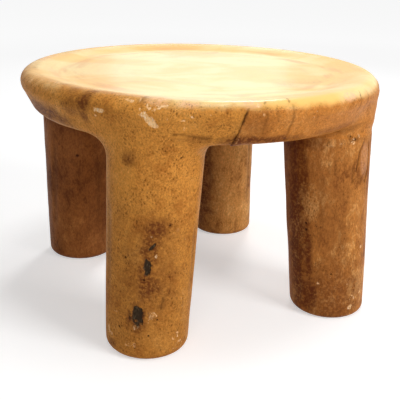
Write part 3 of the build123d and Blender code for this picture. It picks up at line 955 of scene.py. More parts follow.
# ---------------------------------------------------------------- node trees
class Tree:
    """A node tree that is written as plain calls: values or sockets go in, sockets come out."""

    def __init__(self, tree):
        self.tree = tree

    def put(self, socket, value):
        if isinstance(value, bpy.types.NodeSocket):
            self.tree.links.new(value, socket)
        else:
            socket.default_value = value

    def fill(self, node, inputs):
        for key, value in inputs.items():
            self.put(node.inputs[key], value)

    def node(self, kind, inputs=None, **settings):
        node = self.tree.nodes.new(kind)
        for key, value in settings.items():
            setattr(node, key, value)
        self.fill(node, inputs or {})
        return node

    def use(self, group, inputs):
        """A group placed in the tree with its inputs filled."""
        return self.node("ShaderNodeGroup", inputs, node_tree=group).outputs

    def place(self):
        """The piece's own coordinates, in metres."""
        return self.node("ShaderNodeTexCoord").outputs["Object"]

    def math(self, operation, a, b=0.0, clamp=False):
        return self.node("ShaderNodeMath", {0: a, 1: b}, operation=operation, use_clamp=clamp).outputs[0]

    def times(self, a, b, clamp=False):
        return self.math("MULTIPLY", a, b, clamp)

    def plus(self, a, b, clamp=False):
        return self.math("ADD", a, b, clamp)

    def minus(self, a, b):
        return self.math("SUBTRACT", a, b)

    def vector(self, operation, a, b=(0.0, 0.0, 0.0)):
        return self.node("ShaderNodeVectorMath", {0: a, 1: b}, operation=operation).outputs

    def scaled(self, a, b):
        return self.vector("MULTIPLY", a, b)[0]

    def moved(self, a, b):
        return self.vector("ADD", a, b)[0]

    def colour(self, factor, a, b, blend="MIX"):
        node = self.node("ShaderNodeMix", {0: factor, 6: a, 7: b}, data_type="RGBA", blend_type=blend)
        return node.outputs[2]

    def span(self, value, low, high, start=0.0, end=1.0):
        """Where a value lies from low to high, eased at both ends."""
        inputs = {"Value": value, 1: low, 2: high, 3: start, 4: end}
        return self.node("ShaderNodeMapRange", inputs, interpolation_type="SMOOTHSTEP").outputs[0]

    def noise(self, place, lump, detail=3.0, twist=0.0):
        """Noise with lumps of a size in millimetres, about 0.5."""
        inputs = {"Vector": place, "Scale": 1 / (lump * MM), "Detail": detail, "Distortion": twist}
        return self.node("ShaderNodeTexNoise", inputs).outputs[0]


SOCKETS = {
    "colour": "NodeSocketColor", "value": "NodeSocketFloat", "place": "NodeSocketVector",
    "count": "NodeSocketInt", "piece": "NodeSocketObject", "shape": "NodeSocketGeometry",
}


def new_group(name, inputs, outputs, kind="ShaderNodeTree"):
    """A node group with named inputs and outputs, and its tree."""
    group = bpy.data.node_groups.new(name, kind)
    for sockets, way in ((inputs, "INPUT"), (outputs, "OUTPUT")):
        for label, what in sockets.items():
            group.interface.new_socket(label, in_out=way, socket_type=SOCKETS[what])
    tree = Tree(group)
    return group, tree, tree.node("NodeGroupInput").outputs, tree.node("NodeGroupOutput").inputs


PORE_SWAY = 1.6 * MM
COARSE_PORES = 250.0          # pores to the metre
FINE_PORES = 460.0


def pore_group():
    """Hair follicles: clusters of small dark pits."""
    inputs = {"Place": "place", "Pitch": "value", "Amount": "value"}
    group, tree, given, out = new_group("hair_pores", inputs, {"Mask": "value"})
    sway = tree.node("ShaderNodeTexNoise", {"Vector": given["Place"], "Scale": 180.0}).outputs[1]
    nudged = tree.moved(given["Place"], tree.scaled(sway, (PORE_SWAY, PORE_SWAY, PORE_SWAY)))
    cells = tree.node("ShaderNodeTexVoronoi", {"Vector": nudged, "Scale": given["Pitch"]})
    pit = tree.span(cells.outputs["Distance"], 0.46, 0.14)
    herd = tree.noise(given["Place"], 26.0, 4.0)
    shown = tree.span(tree.plus(herd, given["Amount"]), 0.80, 1.12)
    size = tree.node("ShaderNodeSeparateColor", {0: cells.outputs["Color"]}).outputs[0]
    big = tree.span(size, 0.10, 0.85, 0.15, 1.0)
    tree.put(out["Mask"], tree.times(tree.times(pit, shown), big))
    return group


def mottle_group():
    """Cloudy tones in hide: broad clouds, streaks along its stretch and fine grain."""
    inputs = {"Place": "place", "Stretch": "place"}
    group, tree, given, out = new_group("hide_mottle", inputs, {"Tone": "value", "Grain": "value"})
    drawn = tree.scaled(given["Place"], given["Stretch"])
    tone = tree.times(tree.noise(given["Place"], 100.0, 2.0, 0.4), 0.36)
    for lump, detail, twist, share in ((24.0, 5.0, 0.8, 0.26), (7.0, 4.0, 0.3, 0.20), (2.6, 3.0, 0.2, 0.18)):
        tone = tree.plus(tone, tree.times(tree.noise(drawn, lump, detail, twist), share))
    tree.put(out["Tone"], tree.span(tone, 0.30, 0.70))
    fine = {"Vector": drawn, "Scale": 330.0, "Detail": 4.0, "Roughness": 0.75}
    tree.put(out["Grain"], tree.span(tree.node("ShaderNodeTexNoise", fine).outputs[0], 0.30, 0.70))
    return group


def flake_group():
    """Where lacquer and grain have flaked off within a rubbed patch, and where a painted highlight lies
    along a lapped edge.
    """
    inputs = {"Place": "place", "Rubbed": "value"}
    group, tree, given, out = new_group("rubbed_flakes", inputs, {"Mask": "value"})
    coarse = tree.noise(given["Place"], 9.0, 5.0, 1.6)
    drawn = tree.scaled(given["Place"], (1.0, 1.0, 0.4))
    fibre = tree.noise(drawn, 2.6, 5.0, 1.2)
    rough = tree.plus(tree.times(coarse, 0.62), tree.times(fibre, 0.38))
    reach = tree.plus(rough, tree.times(given["Rubbed"], 0.42))
    bare = tree.times(tree.span(reach, 0.66, 0.90), tree.span(given["Rubbed"], 0.02, 0.35))
    tree.put(out["Mask"], tree.times(bare, tree.span(fibre, 0.30, 0.62, 0.45, 1.0)))
    return group


# The streaks on the dish's wall are painted shade of the wall.
WALL_SHADE_RISE = (0.190, 0.222)  # metres from the middle: the streaks grow up the dish's wall,
WALL_SHADE_FADE = (0.268, 0.238)  # and are gone at the crest
INNER_STREAKS = (0.04, 0.20, 0.06, 0.30)   # from and to, and how strong they are at each


def dish_streak_and_wall_shade_group():
    """Streaks that run round the dish, darkest where its wall rises, where they are painted shade of the
    wall, and its soft clouds.
    """
    outputs = {"Mask": "value", "Cloud": "value"}
    group, tree, given, out = new_group("dish_streaks", {"Place": "place"}, outputs)
    flat = tree.scaled(given["Place"], (1.0, 1.0, 0.0))
    rho = tree.vector("LENGTH", flat)["Value"]
    facing = tree.vector("NORMALIZE", flat)[0]
    lift = tree.node("ShaderNodeCombineXYZ", {"Z": tree.times(rho, 46.0)}).outputs[0]
    polar = tree.moved(tree.scaled(facing, (2.1, 2.1, 0.0)), lift)
    streak = tree.node("ShaderNodeTexNoise", {"Vector": polar, "Scale": 1.0, "Detail": 4.0}).outputs[0]
    wall = tree.times(tree.span(rho, *WALL_SHADE_RISE), tree.span(rho, *WALL_SHADE_FADE))
    band = tree.math("MAXIMUM", wall, tree.span(rho, *INNER_STREAKS))
    tree.put(out["Mask"], tree.times(tree.span(streak, 0.46, 0.70), band))
    along = tree.scaled(given["Place"], (0.60, 1.0, 1.0))
    tree.put(out["Cloud"], tree.span(tree.noise(along, 90.0, 2.5, 0.5), 0.38, 0.62))
    return group


def hide_colour(tree, given, skin, rings):
    """The hide's own tones, and what sun, water, wear, dirt and fire did to them, with painted light on the
    top and painted shade and highlights laid in with them.
    """
    colour = tree.colour(tree.span(skin["tone"], 0.0, 0.5), given["Deep"], given["Mid"])
    colour = tree.colour(tree.span(skin["tone"], 0.5, 1.0), colour, given["Light"])
    grain = tree.span(skin["grain"], 0.0, 1.0, 0.82, 1.16)
    grey = tree.node("ShaderNodeCombineColor", {0: grain, 1: grain, 2: grain}).outputs[0]
    colour = tree.colour(1.0, colour, grey, "MULTIPLY")
    pale = tree.colour(rings["Cloud"], given["Bleached"], PALE_CLOUD)
    # Orange streaks round the dish, and painted shade on its wall.
    pale = tree.colour(tree.times(rings["Mask"], 0.55), pale, ORANGE_STREAK_AND_WALL_SHADE)
    # Painted light: the top is painted pale where light from above falls on it, as well as bleached.
    colour = tree.colour(given["Sun"], colour, pale)
    # Soaked patches, and painted shade on shaded sides, under the rim and along the rim's lower edge, in
    # soaked brown.
    soaked_and_shaded = tree.times(given["Stain"], tree.span(skin["soak"], 0.30, 0.62, 0.56, 1.08), clamp=True)
    colour = tree.colour(tree.times(soaked_and_shaded, 0.9), colour, SOAKED_AND_SHADE_BROWN)
    # Pinkish worn places, and painted highlights on the right shoulder, in blush pink.
    blushed_and_highlit = tree.times(given["Blush"], tree.span(skin["soak"], 0.30, 0.62, 0.15, 0.75))
    colour = tree.colour(blushed_and_highlit, colour, BLUSH_AND_HIGHLIGHT_PINK)
    colour = tree.colour(skin["dots"], colour, PORE_BROWN)
    # Dirt, and painted shade in corners and grooves, in grime brown.
    colour = tree.colour(tree.times(given["Grime"], 0.85, clamp=True), colour, GRIME_AND_SHADE_BROWN)
    # Flaked pale places, and painted highlights along lapped edges.
    flaked = tree.colour(skin["fibre"], FLAKED_AND_GLINT_PALE, FLAKED_AND_GLINT_WHITE)
    colour = tree.colour(tree.times(skin["flakes"], 0.9), colour, flaked)
    hollow = tree.colour(tree.times(skin["fibre"], 0.5), HOLE_BLACK, HOLE_GREY)
    return tree.colour(given["Char"], colour, hollow)


def hide_roughness(tree, given, skin):
    """Rougher where it is dark, pitted, flaked or charred, smoother on the bleached top that also carries
    painted light.
    """
    rough = tree.span(skin["tone"], 0.0, 1.0, 0.52, 0.42)
    rough = tree.minus(rough, tree.times(given["Sun"], 0.10))
    rough = tree.plus(rough, tree.times(skin["flakes"], 0.25))
    rough = tree.plus(rough, tree.times(skin["dots"], 0.2))
    return tree.plus(rough, tree.times(given["Char"], 0.5), clamp=True)


def hide_lacquer(tree, given, skin):
    """Uneven, gone where the hide is flaked, charred, dirty or painted in shade, and thickest on the
    bleached top that also carries painted light.
    """
    worn = tree.math("MAXIMUM", skin["flakes"], tree.math("MAXIMUM", given["Char"], given["Grime"]))
    lacquer = tree.times(tree.minus(1.0, worn), tree.span(skin["soak"], 0.3, 0.7, 0.6, 1.0))
    lacquer = tree.times(lacquer, tree.span(given["Sun"], 0.0, 1.0, 0.12, 1.0))
    return tree.times(lacquer, given["Lacquer Amount"])


def hide_relief(tree, given, skin):
    """Wrinkles and grain, pores and flaked hollows, and torn fibre in the holes."""
    wrinkle = tree.noise(tree.scaled(given["Place"], given["Stretch"]), 5.0, 4.0, 1.0)
    height = tree.times(wrinkle, tree.times(skin["shaded"], 0.55))
    height = tree.plus(height, tree.times(skin["grain"], tree.times(skin["shaded"], 0.16)))
    height = tree.minus(height, tree.times(skin["dots"], 0.30))
    height = tree.minus(height, tree.times(skin["flakes"], 0.18))
    return tree.plus(height, tree.times(tree.times(skin["fibre"], given["Char"]), 0.8))


def hide_group(parts):
    """A lacquered rawhide's colour, roughness, lacquer and relief."""
    values = ("Pore Amount", "Lacquer Amount", *(mark.capitalize() for mark in MARKS))
    inputs = {"Place": "place", "Stretch": "place"}
    inputs |= dict.fromkeys(TONES, "colour") | dict.fromkeys(values, "value")
    outputs = {"Color": "colour", "Roughness": "value", "Lacquer": "value", "Height": "value"}
    group, tree, given, out = new_group("lacquered_hide", inputs, outputs)
    place = given["Place"]
    mottle = tree.use(parts["mottle"], {"Place": place, "Stretch": given["Stretch"]})
    pitted = {"Place": tree.scaled(place, (1.0, 1.0, 0.7)), "Amount": given["Pore Amount"]}
    pores = tree.use(parts["pores"], pitted | {"Pitch": COARSE_PORES})["Mask"]
    pinholes = tree.use(parts["pores"], pitted | {"Pitch": FINE_PORES})["Mask"]
    dots = tree.math("MAXIMUM", tree.times(pores, 0.70), tree.times(pinholes, 0.60))
    shaded = tree.minus(1.0, tree.times(given["Sun"], 0.92))
    torn = tree.noise(tree.scaled(place, (1.0, 1.0, 0.3)), 1.6, 3.0)
    skin = {
        "tone": mottle["Tone"], "grain": mottle["Grain"], "shaded": shaded, "dots": tree.times(dots, shaded),
        "soak": tree.noise(place, 4.6, 5.0, 0.5), "fibre": tree.span(torn, 0.5, 0.72),
        "flakes": tree.use(parts["flakes"], {"Place": place, "Rubbed": given["Scuff"]})["Mask"],
    }
    rings = tree.use(parts["rings"], {"Place": place})
    tree.put(out["Color"], hide_colour(tree, given, skin, rings))
    tree.put(out["Roughness"], hide_roughness(tree, given, skin))
    tree.put(out["Lacquer"], hide_lacquer(tree, given, skin))
    tree.put(out["Height"], hide_relief(tree, given, skin))
    return group


LACQUER_ROUGHNESS = 0.22
HIDE_SHINE = 0.03


def new_material(name):
    """A material with a Principled shader, and its tree."""
    material = bpy.data.materials.new(name)
    material.use_nodes = True
    tree = Tree(material.node_tree)
    shader = material.node_tree.nodes["Principled BSDF"]
    return material, tree, shader


def coat(tree, shader, looks, height, strength, depth):
    """A Principled shader's inputs by name, and the relief of its surface, millimetres deep."""
    tree.fill(shader, looks)
    bump = tree.node("ShaderNodeBump", {"Height": height, "Strength": strength, "Distance": depth * MM})
    tree.put(shader.inputs["Normal"], bump.outputs[0])


def hide_material(name, group, tones, stretch, pores, lacquer):
    """One hide's finish from the shared group, its tones from light to dark and then its bleached one, which
    also carries painted light on the top.
    """
    material, tree, shader = new_material(name)
    inputs = {"Place": tree.place(), "Stretch": stretch, "Pore Amount": pores, "Lacquer Amount": lacquer}
    inputs |= dict(zip(TONES, tones))
    for mark in MARKS:
        inputs[mark.capitalize()] = tree.node("ShaderNodeAttribute", attribute_name=mark).outputs["Fac"]
    made = tree.use(group, inputs)
    looks = {"Base Color": made["Color"], "Roughness": made["Roughness"], "Coat Weight": made["Lacquer"],
             "Coat Roughness": LACQUER_ROUGHNESS, "Specular IOR Level": HIDE_SHINE}
    coat(tree, shader, looks, made["Height"], 0.5, 1.1)
    return material


def wood_group():
    """Hardwood grain along Z: growth rings, fibres and pores."""
    inputs = {"Place": "place", "Light": "colour", "Dark": "colour"}
    outputs = {"Color": "colour", "Roughness": "value", "Height": "value"}
    group, tree, given, out = new_group("bare_wood", inputs, outputs)
    sway = tree.node("ShaderNodeTexNoise", {"Vector": given["Place"], "Scale": 7.0}).outputs[1]
    bent = tree.moved(given["Place"], tree.scaled(sway, (0.035, 0.035, 0.0)))
    wave_inputs = {"Vector": bent, "Scale": 26.0, "Distortion": 2.5, "Detail": 3.0}
    rings = tree.node("ShaderNodeTexWave", wave_inputs, wave_type="RINGS", rings_direction="Z").outputs[1]
    drawn = tree.scaled(given["Place"], (1.0, 1.0, 0.06))
    fibre = tree.noise(drawn, 1.4, 4.0)
    pore = tree.span(tree.noise(drawn, 0.8, 2.0), 0.36, 0.28)
    tone = tree.plus(tree.times(rings, 0.55), tree.times(fibre, 0.55), clamp=True)
    colour = tree.colour(tone, given["Dark"], given["Light"])
    tree.put(out["Color"], tree.colour(tree.times(pore, 0.6), colour, PORE_BROWN))
    tree.put(out["Roughness"], tree.span(fibre, 0.3, 0.7, 0.85, 0.62))
    tree.put(out["Height"], tree.minus(tree.times(tone, 0.5), pore))
    return group


def wood_material(name, group, light, dark, across=False):
    """Bare wood, with its grain upright or lying across the table."""
    material, tree, shader = new_material(name)
    lie = (0.0, radians(90), radians(24)) if across else (0.0, 0.0, 0.0)
    shift = (0.0, 0.0, 0.30) if across else (0.03, 0.02, 0.0)
    mapping = tree.node("ShaderNodeMapping", {"Vector": tree.place(), "Location": shift, "Rotation": lie})
    made = tree.use(group, {"Place": mapping.outputs[0], "Light": light, "Dark": dark})
    looks = {"Base Color": made["Color"], "Roughness": made["Roughness"]}
    coat(tree, shader, looks, made["Height"], 0.6, 0.8)
    return material


def iron_material():
    """Blackened iron with rust in its scale."""
    material, tree, shader = new_material("tack_iron")
    scale = tree.noise(tree.place(), 2.2, 4.0)
    rust = tree.span(scale, 0.50, 0.66)
    looks = {"Base Color": tree.colour(rust, BLACK_IRON, RUST),
             "Roughness": tree.span(rust, 0.0, 1.0, 0.38, 0.85),
             "Metallic": tree.span(rust, 0.0, 1.0, 1.0, 0.1)}
    coat(tree, shader, looks, scale, 0.5, 0.4)
    return material


# ---------------------------------------------------------------- meshes
def new_piece(name, mesh, material):
    """An object at the origin with one material."""
    piece = bpy.data.objects.new(name, mesh)
    bpy.context.scene.collection.objects.link(piece)
    mesh.materials.clear()
    mesh.materials.append(material)
    return piece


def settle(piece, node):
    """A finished piece rides the table and stands for its node, whose CAD part is hidden."""
    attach(piece, "root")
    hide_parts(node)


def make_plain(piece):
    """The piece's modifiers are made real in its mesh and taken off."""
    bpy.context.view_layer.update()
    graph = bpy.context.evaluated_depsgraph_get()
    made = piece.evaluated_get(graph)
    mesh = bpy.data.meshes.new_from_object(made, preserve_all_data_layers=True, depsgraph=graph)
    piece.modifiers.clear()
    old = piece.data
    piece.data = mesh
    bpy.data.meshes.remove(old)
    mesh.name = piece.name


def triangle_mesh(name, points, triangles, values):
    """A mesh in metres with a value of each kind at every point, and which points it uses."""
    used, corner = np.unique(triangles, return_inverse=True)
    mesh = bpy.data.meshes.new(name)
    mesh.vertices.add(len(used))
    mesh.vertices.foreach_set("co", (points[used] * MM).astype(np.float32).ravel())
    mesh.loops.add(triangles.size)
    mesh.loops.foreach_set("vertex_index", corner.reshape(-1).astype(np.int32))
    mesh.polygons.add(len(triangles))
    mesh.polygons.foreach_set("loop_start", np.arange(0, triangles.size, 3, dtype=np.int32))
    mesh.update(calc_edges=True)
    mesh.validate()
    for kind, value in values.items():
        layer = mesh.attributes.new(kind, "FLOAT", "POINT")
        layer.data.foreach_set("value", value[used].astype(np.float32))
    return mesh, used


TOP_KEEP = 0.69               # share of the top skin's triangles that is kept
CALM_MARGIN = 14.0            # the thinned middle of the dish ends this far inside its wall
SLIVER = 0.05                 # edges shorter than this are closed up
CREASE_ANGLE = radians(42)


def net_normals(points):
    """The field's outward directions at points."""
    slope = gradient(table_distance, points)
    return slope / np.maximum(np.linalg.norm(slope, axis=1, keepdims=True), 1e-6)


def thin_out(piece, points):
    """Fewer triangles in the calm parts of the top: the dish and the hem under the rim."""
    calm = piece.vertex_groups.new(name="calm")
    rho = np.hypot(points[:, 0], points[:, 1])
    top = (rho < DISH_CIRCLE - CALM_MARGIN) & (points[:, 2] > SHOULDER_Z)
    under = (points[:, 2] < UNDERSIDE_Z + 2) & (rho < ROLL_CIRCLE)
    calm.add(np.flatnonzero(top | under).tolist(), 1.0, "REPLACE")
    fewer = piece.modifiers.new("fewer", "DECIMATE")
    fewer.ratio = TOP_KEEP
    fewer.vertex_group = "calm"
    fewer.vertex_group_factor = 1000.0
    make_plain(piece)
    piece.vertex_groups.clear()


def clean_sheet(mesh):
    """No slivers and no loose points in a sheet of triangles."""
    sheet = bmesh.new()
    sheet.from_mesh(mesh)
    bmesh.ops.dissolve_degenerate(sheet, dist=SLIVER * MM, edges=sheet.edges)
    bmesh.ops.triangulate(sheet, faces=sheet.faces)
    bmesh.ops.delete(sheet, geom=[v for v in sheet.verts if not v.link_faces], context="VERTS")
    sheet.to_mesh(mesh)
    sheet.free()


def read_sheet(mesh):
    """A sheet's points in millimetres, its triangles and its marks."""
    points = np.empty(3 * len(mesh.vertices), np.float32)
    mesh.vertices.foreach_get("co", points)
    corners = np.empty(len(mesh.loops), np.int32)
    mesh.loops.foreach_get("vertex_index", corners)
    marks = {}
    for mark in MARKS:
        marks[mark] = np.empty(len(mesh.vertices), np.float32)
        mesh.attributes[mark].data.foreach_get("value", marks[mark])
    return points.reshape(-1, 3) / MM, corners.reshape(-1, 3), marks


def give_thickness(mesh):
    """A closed hide from a sheet: the sheet outside, a copy inside it and a wall round its edges."""
    points, triangles, marks = read_sheet(mesh)
    inside = points - net_normals(points) * HIDE_THICKNESS
    total = len(points)
    ends = np.stack([triangles, np.roll(triangles, -1, axis=1)], 2).reshape(-1, 2)
    sides = triangle_sides(triangles, total)
    _, which, count = np.unique(sides, return_inverse=True, return_counts=True)
    first, second = ends[count[which] == 1].T
    upper_walls = np.stack([second, first, first + total], 1)
    lower_walls = np.stack([second, first + total, second + total], 1)
    faces = np.concatenate([triangles, triangles[:, ::-1] + total, upper_walls, lower_walls])
    marks = {mark: np.concatenate([value, value]) for mark, value in marks.items()}
    return triangle_mesh(mesh.name, np.concatenate([points, inside]), faces, marks)[0]


def hide_piece(name, points, triangles, normals, marks, relief, material):
    """One hide: its part of the net, lifted at its laps and given its thickness."""
    lift = (relief + lap_rise(name, points))[:, None]
    skin = np.clip(points + normals * lift, np.array(cad_low) / MM, np.array(cad_high) / MM)
    mesh, used = triangle_mesh(HIDES[name], skin, triangles, marks)
    piece = new_piece(HIDES[name], mesh, material)
    if name == "top_skin":
        thin_out(piece, points[used])
    clean_sheet(piece.data)
    sheet = piece.data
    piece.data = give_thickness(sheet)
    bpy.data.meshes.remove(sheet)
    piece.data.name = piece.name
    piece.data.materials.append(material)
    piece.data.shade_smooth()
    piece.data.set_sharp_from_angle(angle=CREASE_ANGLE)
    return piece


# ---------------------------------------------------------------- tacks
TACK_NEAR = 10 * MM           # corners closer than this belong to one tack
TACK_FLAT = 0.2 * MM          # and to its head's outer face when no higher than this
TACK_RINGS = 5
TACK_SIDES = 14
TACK_UNDERCUT = 0.86          # share of the head's radius at its back edge
TACK_BACK = 1.02              # how high its back lies, as a share of the dome
SHANK_SHARES = (0.25, 0.22)   # the shank's radius at its ends, as shares of the head's
SHANK_LENGTH = 4 * MM
POINT_LENGTH = 5.5 * MM
TACK_SIZE_SPREAD = 0.14
TACK_TILT = 0.10              # radians


def tack_places(node):
    """Where the tacks of a CAD node are: the middle of each one's head."""
    corners = np.array([v.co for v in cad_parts[node].data.vertices])
    low = corners[corners[:, 2] < corners[:, 2].min() + TACK_FLAT]
    places = []
    for corner in low:
        if all(np.hypot(*(corner - place)[:2]) > TACK_NEAR for place in places):
            near = low[np.hypot(*(low - corner)[:, :2].T) < TACK_NEAR]
            places.append(near.mean(0))
    return places


def domed_tack(radius, height):
    """A tack with a hammered dome, crown down, on a short shank that points up."""
    points, faces = [(0.0, 0.0, 0.0)], []
    profile = []
    for ring in range(1, TACK_RINGS + 1):
        turn = pi / 2 * ring / TACK_RINGS
        profile.append((radius * sin(turn), height * (1 - cos(turn))))
    back = height * TACK_BACK
    profile += [(radius * TACK_UNDERCUT, back), (radius * SHANK_SHARES[0], back)]
    profile.append((radius * SHANK_SHARES[1], height + SHANK_LENGTH))
    for reach, up in profile:
        for side in range(TACK_SIDES):
            turn = 2 * pi * side / TACK_SIDES
            points.append((reach * cos(turn), reach * sin(turn), up))
    points.append((0.0, 0.0, height + POINT_LENGTH))
    last = 1 + (len(profile) - 1) * TACK_SIDES
    for side in range(TACK_SIDES):
        beside = (side + 1) % TACK_SIDES
        faces.append((0, 1 + beside, 1 + side))
        for ring in range(len(profile) - 1):
            a, b = 1 + ring * TACK_SIDES + side, 1 + ring * TACK_SIDES + beside
            faces.append((a, b, b + TACK_SIDES, a + TACK_SIDES))
        faces.append((last + side, last + beside, len(points) - 1))
    mesh = bpy.data.meshes.new("tack")
    mesh.from_pydata(points, [], faces)
    mesh.shade_smooth()
    return mesh


def tack_tree(material):
    """Geometry nodes: a tack at each point, turned and sized a little by chance."""
    inputs = {"Places": "shape", "Tack": "piece", "Size Spread": "value", "Tilt": "value", "Seed": "count"}
    group, tree, given, out = new_group("driven_tacks", inputs, {"Tacks": "shape"}, "GeometryNodeTree")
    tack = tree.node("GeometryNodeObjectInfo", {"Object": given["Tack"]}).outputs["Geometry"]
    tilt, back = given["Tilt"], tree.times(given["Tilt"], -1.0)
    low = tree.node("ShaderNodeCombineXYZ", {"X": back, "Y": back}).outputs[0]
    high = tree.node("ShaderNodeCombineXYZ", {"X": tilt, "Y": tilt, "Z": 2 * pi}).outputs[0]
    turn = tree.node("FunctionNodeRandomValue", data_type="FLOAT_VECTOR")
    tree.fill(turn, {0: low, 1: high, "Seed": given["Seed"]})
    size = tree.node("FunctionNodeRandomValue", data_type="FLOAT")
    tree.fill(size, {2: tree.minus(1.0, given["Size Spread"]), 3: 1.0, "Seed": given["Seed"]})
    spread = tree.node("GeometryNodeInstanceOnPoints", {
        "Points": given["Places"], "Instance": tack, "Rotation": turn.outputs[0], "Scale": size.outputs[1]})
    real = tree.node("GeometryNodeRealizeInstances", {0: spread.outputs[0]})
    coated = tree.node("GeometryNodeSetMaterial", {"Geometry": real.outputs[0], "Material": material})
    tree.put(out["Tacks"], coated.outputs[0])
    return group


def tack_piece(name, node, group, pattern, material, seed):
    """The tacks of one CAD node, remade with domed heads in the same places."""
    mesh = bpy.data.meshes.new(name)
    mesh.from_pydata([tuple(place) for place in tack_places(node)], [], [])
    piece = new_piece(name, mesh, material)
    maker = piece.modifiers.new("tacks", "NODES")
    maker.node_group = group
    values = {"Tack": pattern, "Size Spread": TACK_SIZE_SPREAD, "Tilt": TACK_TILT, "Seed": seed}
    for item in group.interface.items_tree:
        if item.name in values:
            maker[item.identifier] = values[item.name]
    make_plain(piece)
    return piece


# ---------------------------------------------------------------- the table
# A hide's finish: its tones, stretch, pores and lacquer.
PALE_FINISH = (PALE_TONES, (1.0, 1.0, 0.9), 0.52, 0.42)
FINISHES = {
    "top_skin": PALE_FINISH,
    "rim_band_skin": ((rgb(216, 148, 78), rgb(196, 124, 54), rgb(154, 88, 34), rgb(255, 204, 120)),
                      (1.0, 1.0, 0.8), 0.44, 0.42),
    "leg_skin_front": PALE_FINISH,
    "leg_skin_right": ((rgb(230, 168, 98), rgb(182, 116, 54), rgb(122, 68, 28), LEG_BLEACHED_AND_LIT),
                       (1.0, 1.0, 0.55), 0.42, 0.40),
    "leg_skin_back": ((rgb(236, 178, 106), rgb(202, 140, 74), rgb(140, 84, 38), LEG_BLEACHED_AND_LIT),
                      (1.0, 1.0, 0.55), 0.36, 0.40),
    "leg_skin_left": ((rgb(176, 112, 58), rgb(144, 86, 42), rgb(98, 52, 22), LEG_BLEACHED_AND_LIT),
                      (1.0, 1.0, 0.50), 0.36, 0.40),
}
SLOTS = dict.fromkeys(HIDES, "brown_hide") | {"top_skin": "pale_hide", "leg_skin_front": "pale_hide"}


def cover_in_hide():
    """The six hides, each a part of the one net with its own finish."""
    parts = {"pores": pore_group(), "mottle": mottle_group(),
             "flakes": flake_group(), "rings": dish_streak_and_wall_shade_group()}
    hide = hide_group(parts)
    points, triangles, label = net_table(FINE_ZONES)
    normals = net_normals(points)
    marks, relief = dress(points)
    for node, name in HIDES.items():
        finish = hide_material(f"{name}_finish", hide, *FINISHES[node])
        piece = hide_piece(node, points, triangles[label == node], normals, marks, relief, finish)
        settle(piece, node)


def finish_carcass():
    """Bare wood on the slab, the leg cores and the wedges."""
    wood = wood_group()
    slab = wood_material("carcass_wood_slab", wood, rgb(168, 122, 74), rgb(112, 74, 42), across=True)
    leg = wood_material("carcass_wood_leg", wood, rgb(160, 114, 68), rgb(104, 68, 38))
    wedge = wood_material("wedge_wood", wood, rgb(110, 70, 40), rgb(66, 38, 20))
    dressed = {"top_core": slab}
    for side in SIDES:
        dressed |= {f"leg_core_{side}": leg, f"tenon_wedge_{side}": wedge}
    for node, material in dressed.items():
        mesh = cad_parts[node].data
        mesh.materials.clear()
        mesh.materials.append(material)


def drive_tacks():
    """Iron tacks along the hems under the top and under each foot."""
    iron = iron_material()
    group = tack_tree(iron)
    tack = domed_tack(TACK_HEAD_RADIUS * MM, TACK_HEAD_THICKNESS * MM)
    pattern = bpy.data.objects.new("tack_pattern", tack)
    for seed, node in enumerate(["underside_tacks"] + [f"foot_tacks_{side}" for side in SIDES]):
        piece = tack_piece(f"driven_{node}", node, group, pattern, iron, seed)
        settle(piece, node)
    bpy.data.objects.remove(pattern)


# ---------------------------------------------------------------- camera, light and floor
CAMERA_PLACE = (0.0, -1.23525, 0.60024)
CAMERA_LENS = 63.64
SENSOR_WIDTH = 36.0
CAMERA_PITCH = radians(20.01)   # down
CAMERA_YAW = radians(0.28)
CAMERA_ROLL = radians(1.48)


def set_camera():
    """A camera a little over a metre in front, looking down at the table."""
    level = cos(CAMERA_PITCH)
    ahead = Vector((sin(CAMERA_YAW) * level, cos(CAMERA_YAW) * level, -sin(CAMERA_PITCH)))
    right = Vector((cos(CAMERA_YAW), -sin(CAMERA_YAW), 0.0))
    up = right.cross(ahead)
    tilted = right * cos(CAMERA_ROLL) + up * sin(CAMERA_ROLL)
    upright = up * cos(CAMERA_ROLL) - right * sin(CAMERA_ROLL)
    data = bpy.data.cameras.new("camera")
    data.lens = CAMERA_LENS
    data.sensor_width = SENSOR_WIDTH
    camera = bpy.data.objects.new("camera", data)
    turn = Matrix((tilted, upright, -ahead)).transposed().to_4x4()
    camera.matrix_world = Matrix.Translation(CAMERA_PLACE) @ turn
    bpy.context.scene.collection.objects.link(camera)
    bpy.context.scene.camera = camera


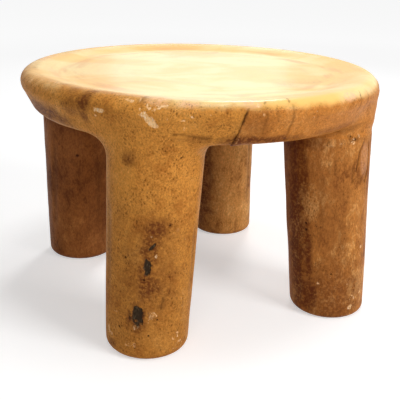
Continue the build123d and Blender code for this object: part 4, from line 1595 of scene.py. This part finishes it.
FLOOR_SIZE = 60.0
FLOOR_LIFT = 0.45             # the floor's own light to the eye, round the table
FAR_FLOOR_LIFT = 0.75
FLOOR_LIFT_SPAN = (0.8, 4.0)  # metres out from the table, from the one to the other
FLOOR_GREY = (0.80, 0.80, 0.80, 1.0)
WHITE = (1.0, 1.0, 1.0, 1.0)
ROOM_LIGHT = 0.22
LIGHTS = (                    # name, place, aim, width, height, power
    ("key", (1.8, -1.3, 1.5), (0.0, 0.0, 0.25), 1.0, 1.0, 33.0),
    ("fill", (-0.3, -2.4, 1.2), (0.0, 0.0, 0.20), 1.2, 1.0, 11.0),
    ("overhead", (0.20, -0.15, 2.0), (0.0, 0.0, 0.35), 0.7, 0.5, 9.0),
    ("window", (0.0, 2.4, 0.95), (0.0, 0.0, 0.38), 0.9, 0.5, 2.2),
    ("skylight", (0.34, 1.7, 1.9), (0.0, 0.0, 0.40), 0.5, 0.25, 16.0),
)


def soft_light(name, place, aim, width, height, power):
    """A soft box that looks at a point."""
    data = bpy.data.lights.new(name, "AREA")
    data.shape = "RECTANGLE"
    data.size, data.size_y = width, height
    data.energy = power
    lamp = bpy.data.objects.new(name, data)
    lamp.location = place
    lamp.visible_camera = False
    lamp.rotation_euler = (Vector(aim) - Vector(place)).to_track_quat("-Z", "Y").to_euler()
    bpy.context.scene.collection.objects.link(lamp)


def white_to_eye(tree):
    """1 for what is seen directly, mirrored or through glass, else 0."""
    path = tree.node("ShaderNodeLightPath").outputs
    seen = tree.math("MAXIMUM", path["Is Camera Ray"], path["Is Glossy Ray"])
    return tree.math("MAXIMUM", seen, path["Is Transmission Ray"])


def set_floor():
    """A pale floor that keeps the table's shadow."""
    bpy.ops.mesh.primitive_plane_add(size=FLOOR_SIZE)
    floor = bpy.context.object
    floor.name = "floor"
    material, tree, shader = new_material("pale_floor")
    away = tree.vector("LENGTH", tree.place())["Value"]
    lift = tree.span(away, *FLOOR_LIFT_SPAN, FLOOR_LIFT, FAR_FLOOR_LIFT)
    tree.fill(shader, {
        "Base Color": FLOOR_GREY, "Roughness": 0.9, "Specular IOR Level": 0.0,
        "Emission Color": WHITE, "Emission Strength": tree.times(white_to_eye(tree), lift)})
    floor.data.materials.append(material)


def set_room():
    """A white room round the table that gives it little light itself."""
    world = bpy.data.worlds.new("room")
    world.use_nodes = True
    bpy.context.scene.world = world
    tree = Tree(world.node_tree)
    strength = tree.node("ShaderNodeMix", {0: white_to_eye(tree), 2: ROOM_LIGHT, 3: 1.0}).outputs[0]
    tree.fill(world.node_tree.nodes["Background"], {"Color": WHITE, "Strength": strength})


bpy.context.scene.view_settings.view_transform = "Standard"
cover_in_hide()
finish_carcass()
drive_tacks()
set_camera()
set_floor()
set_room()
for light in LIGHTS:
    soft_light(*light)
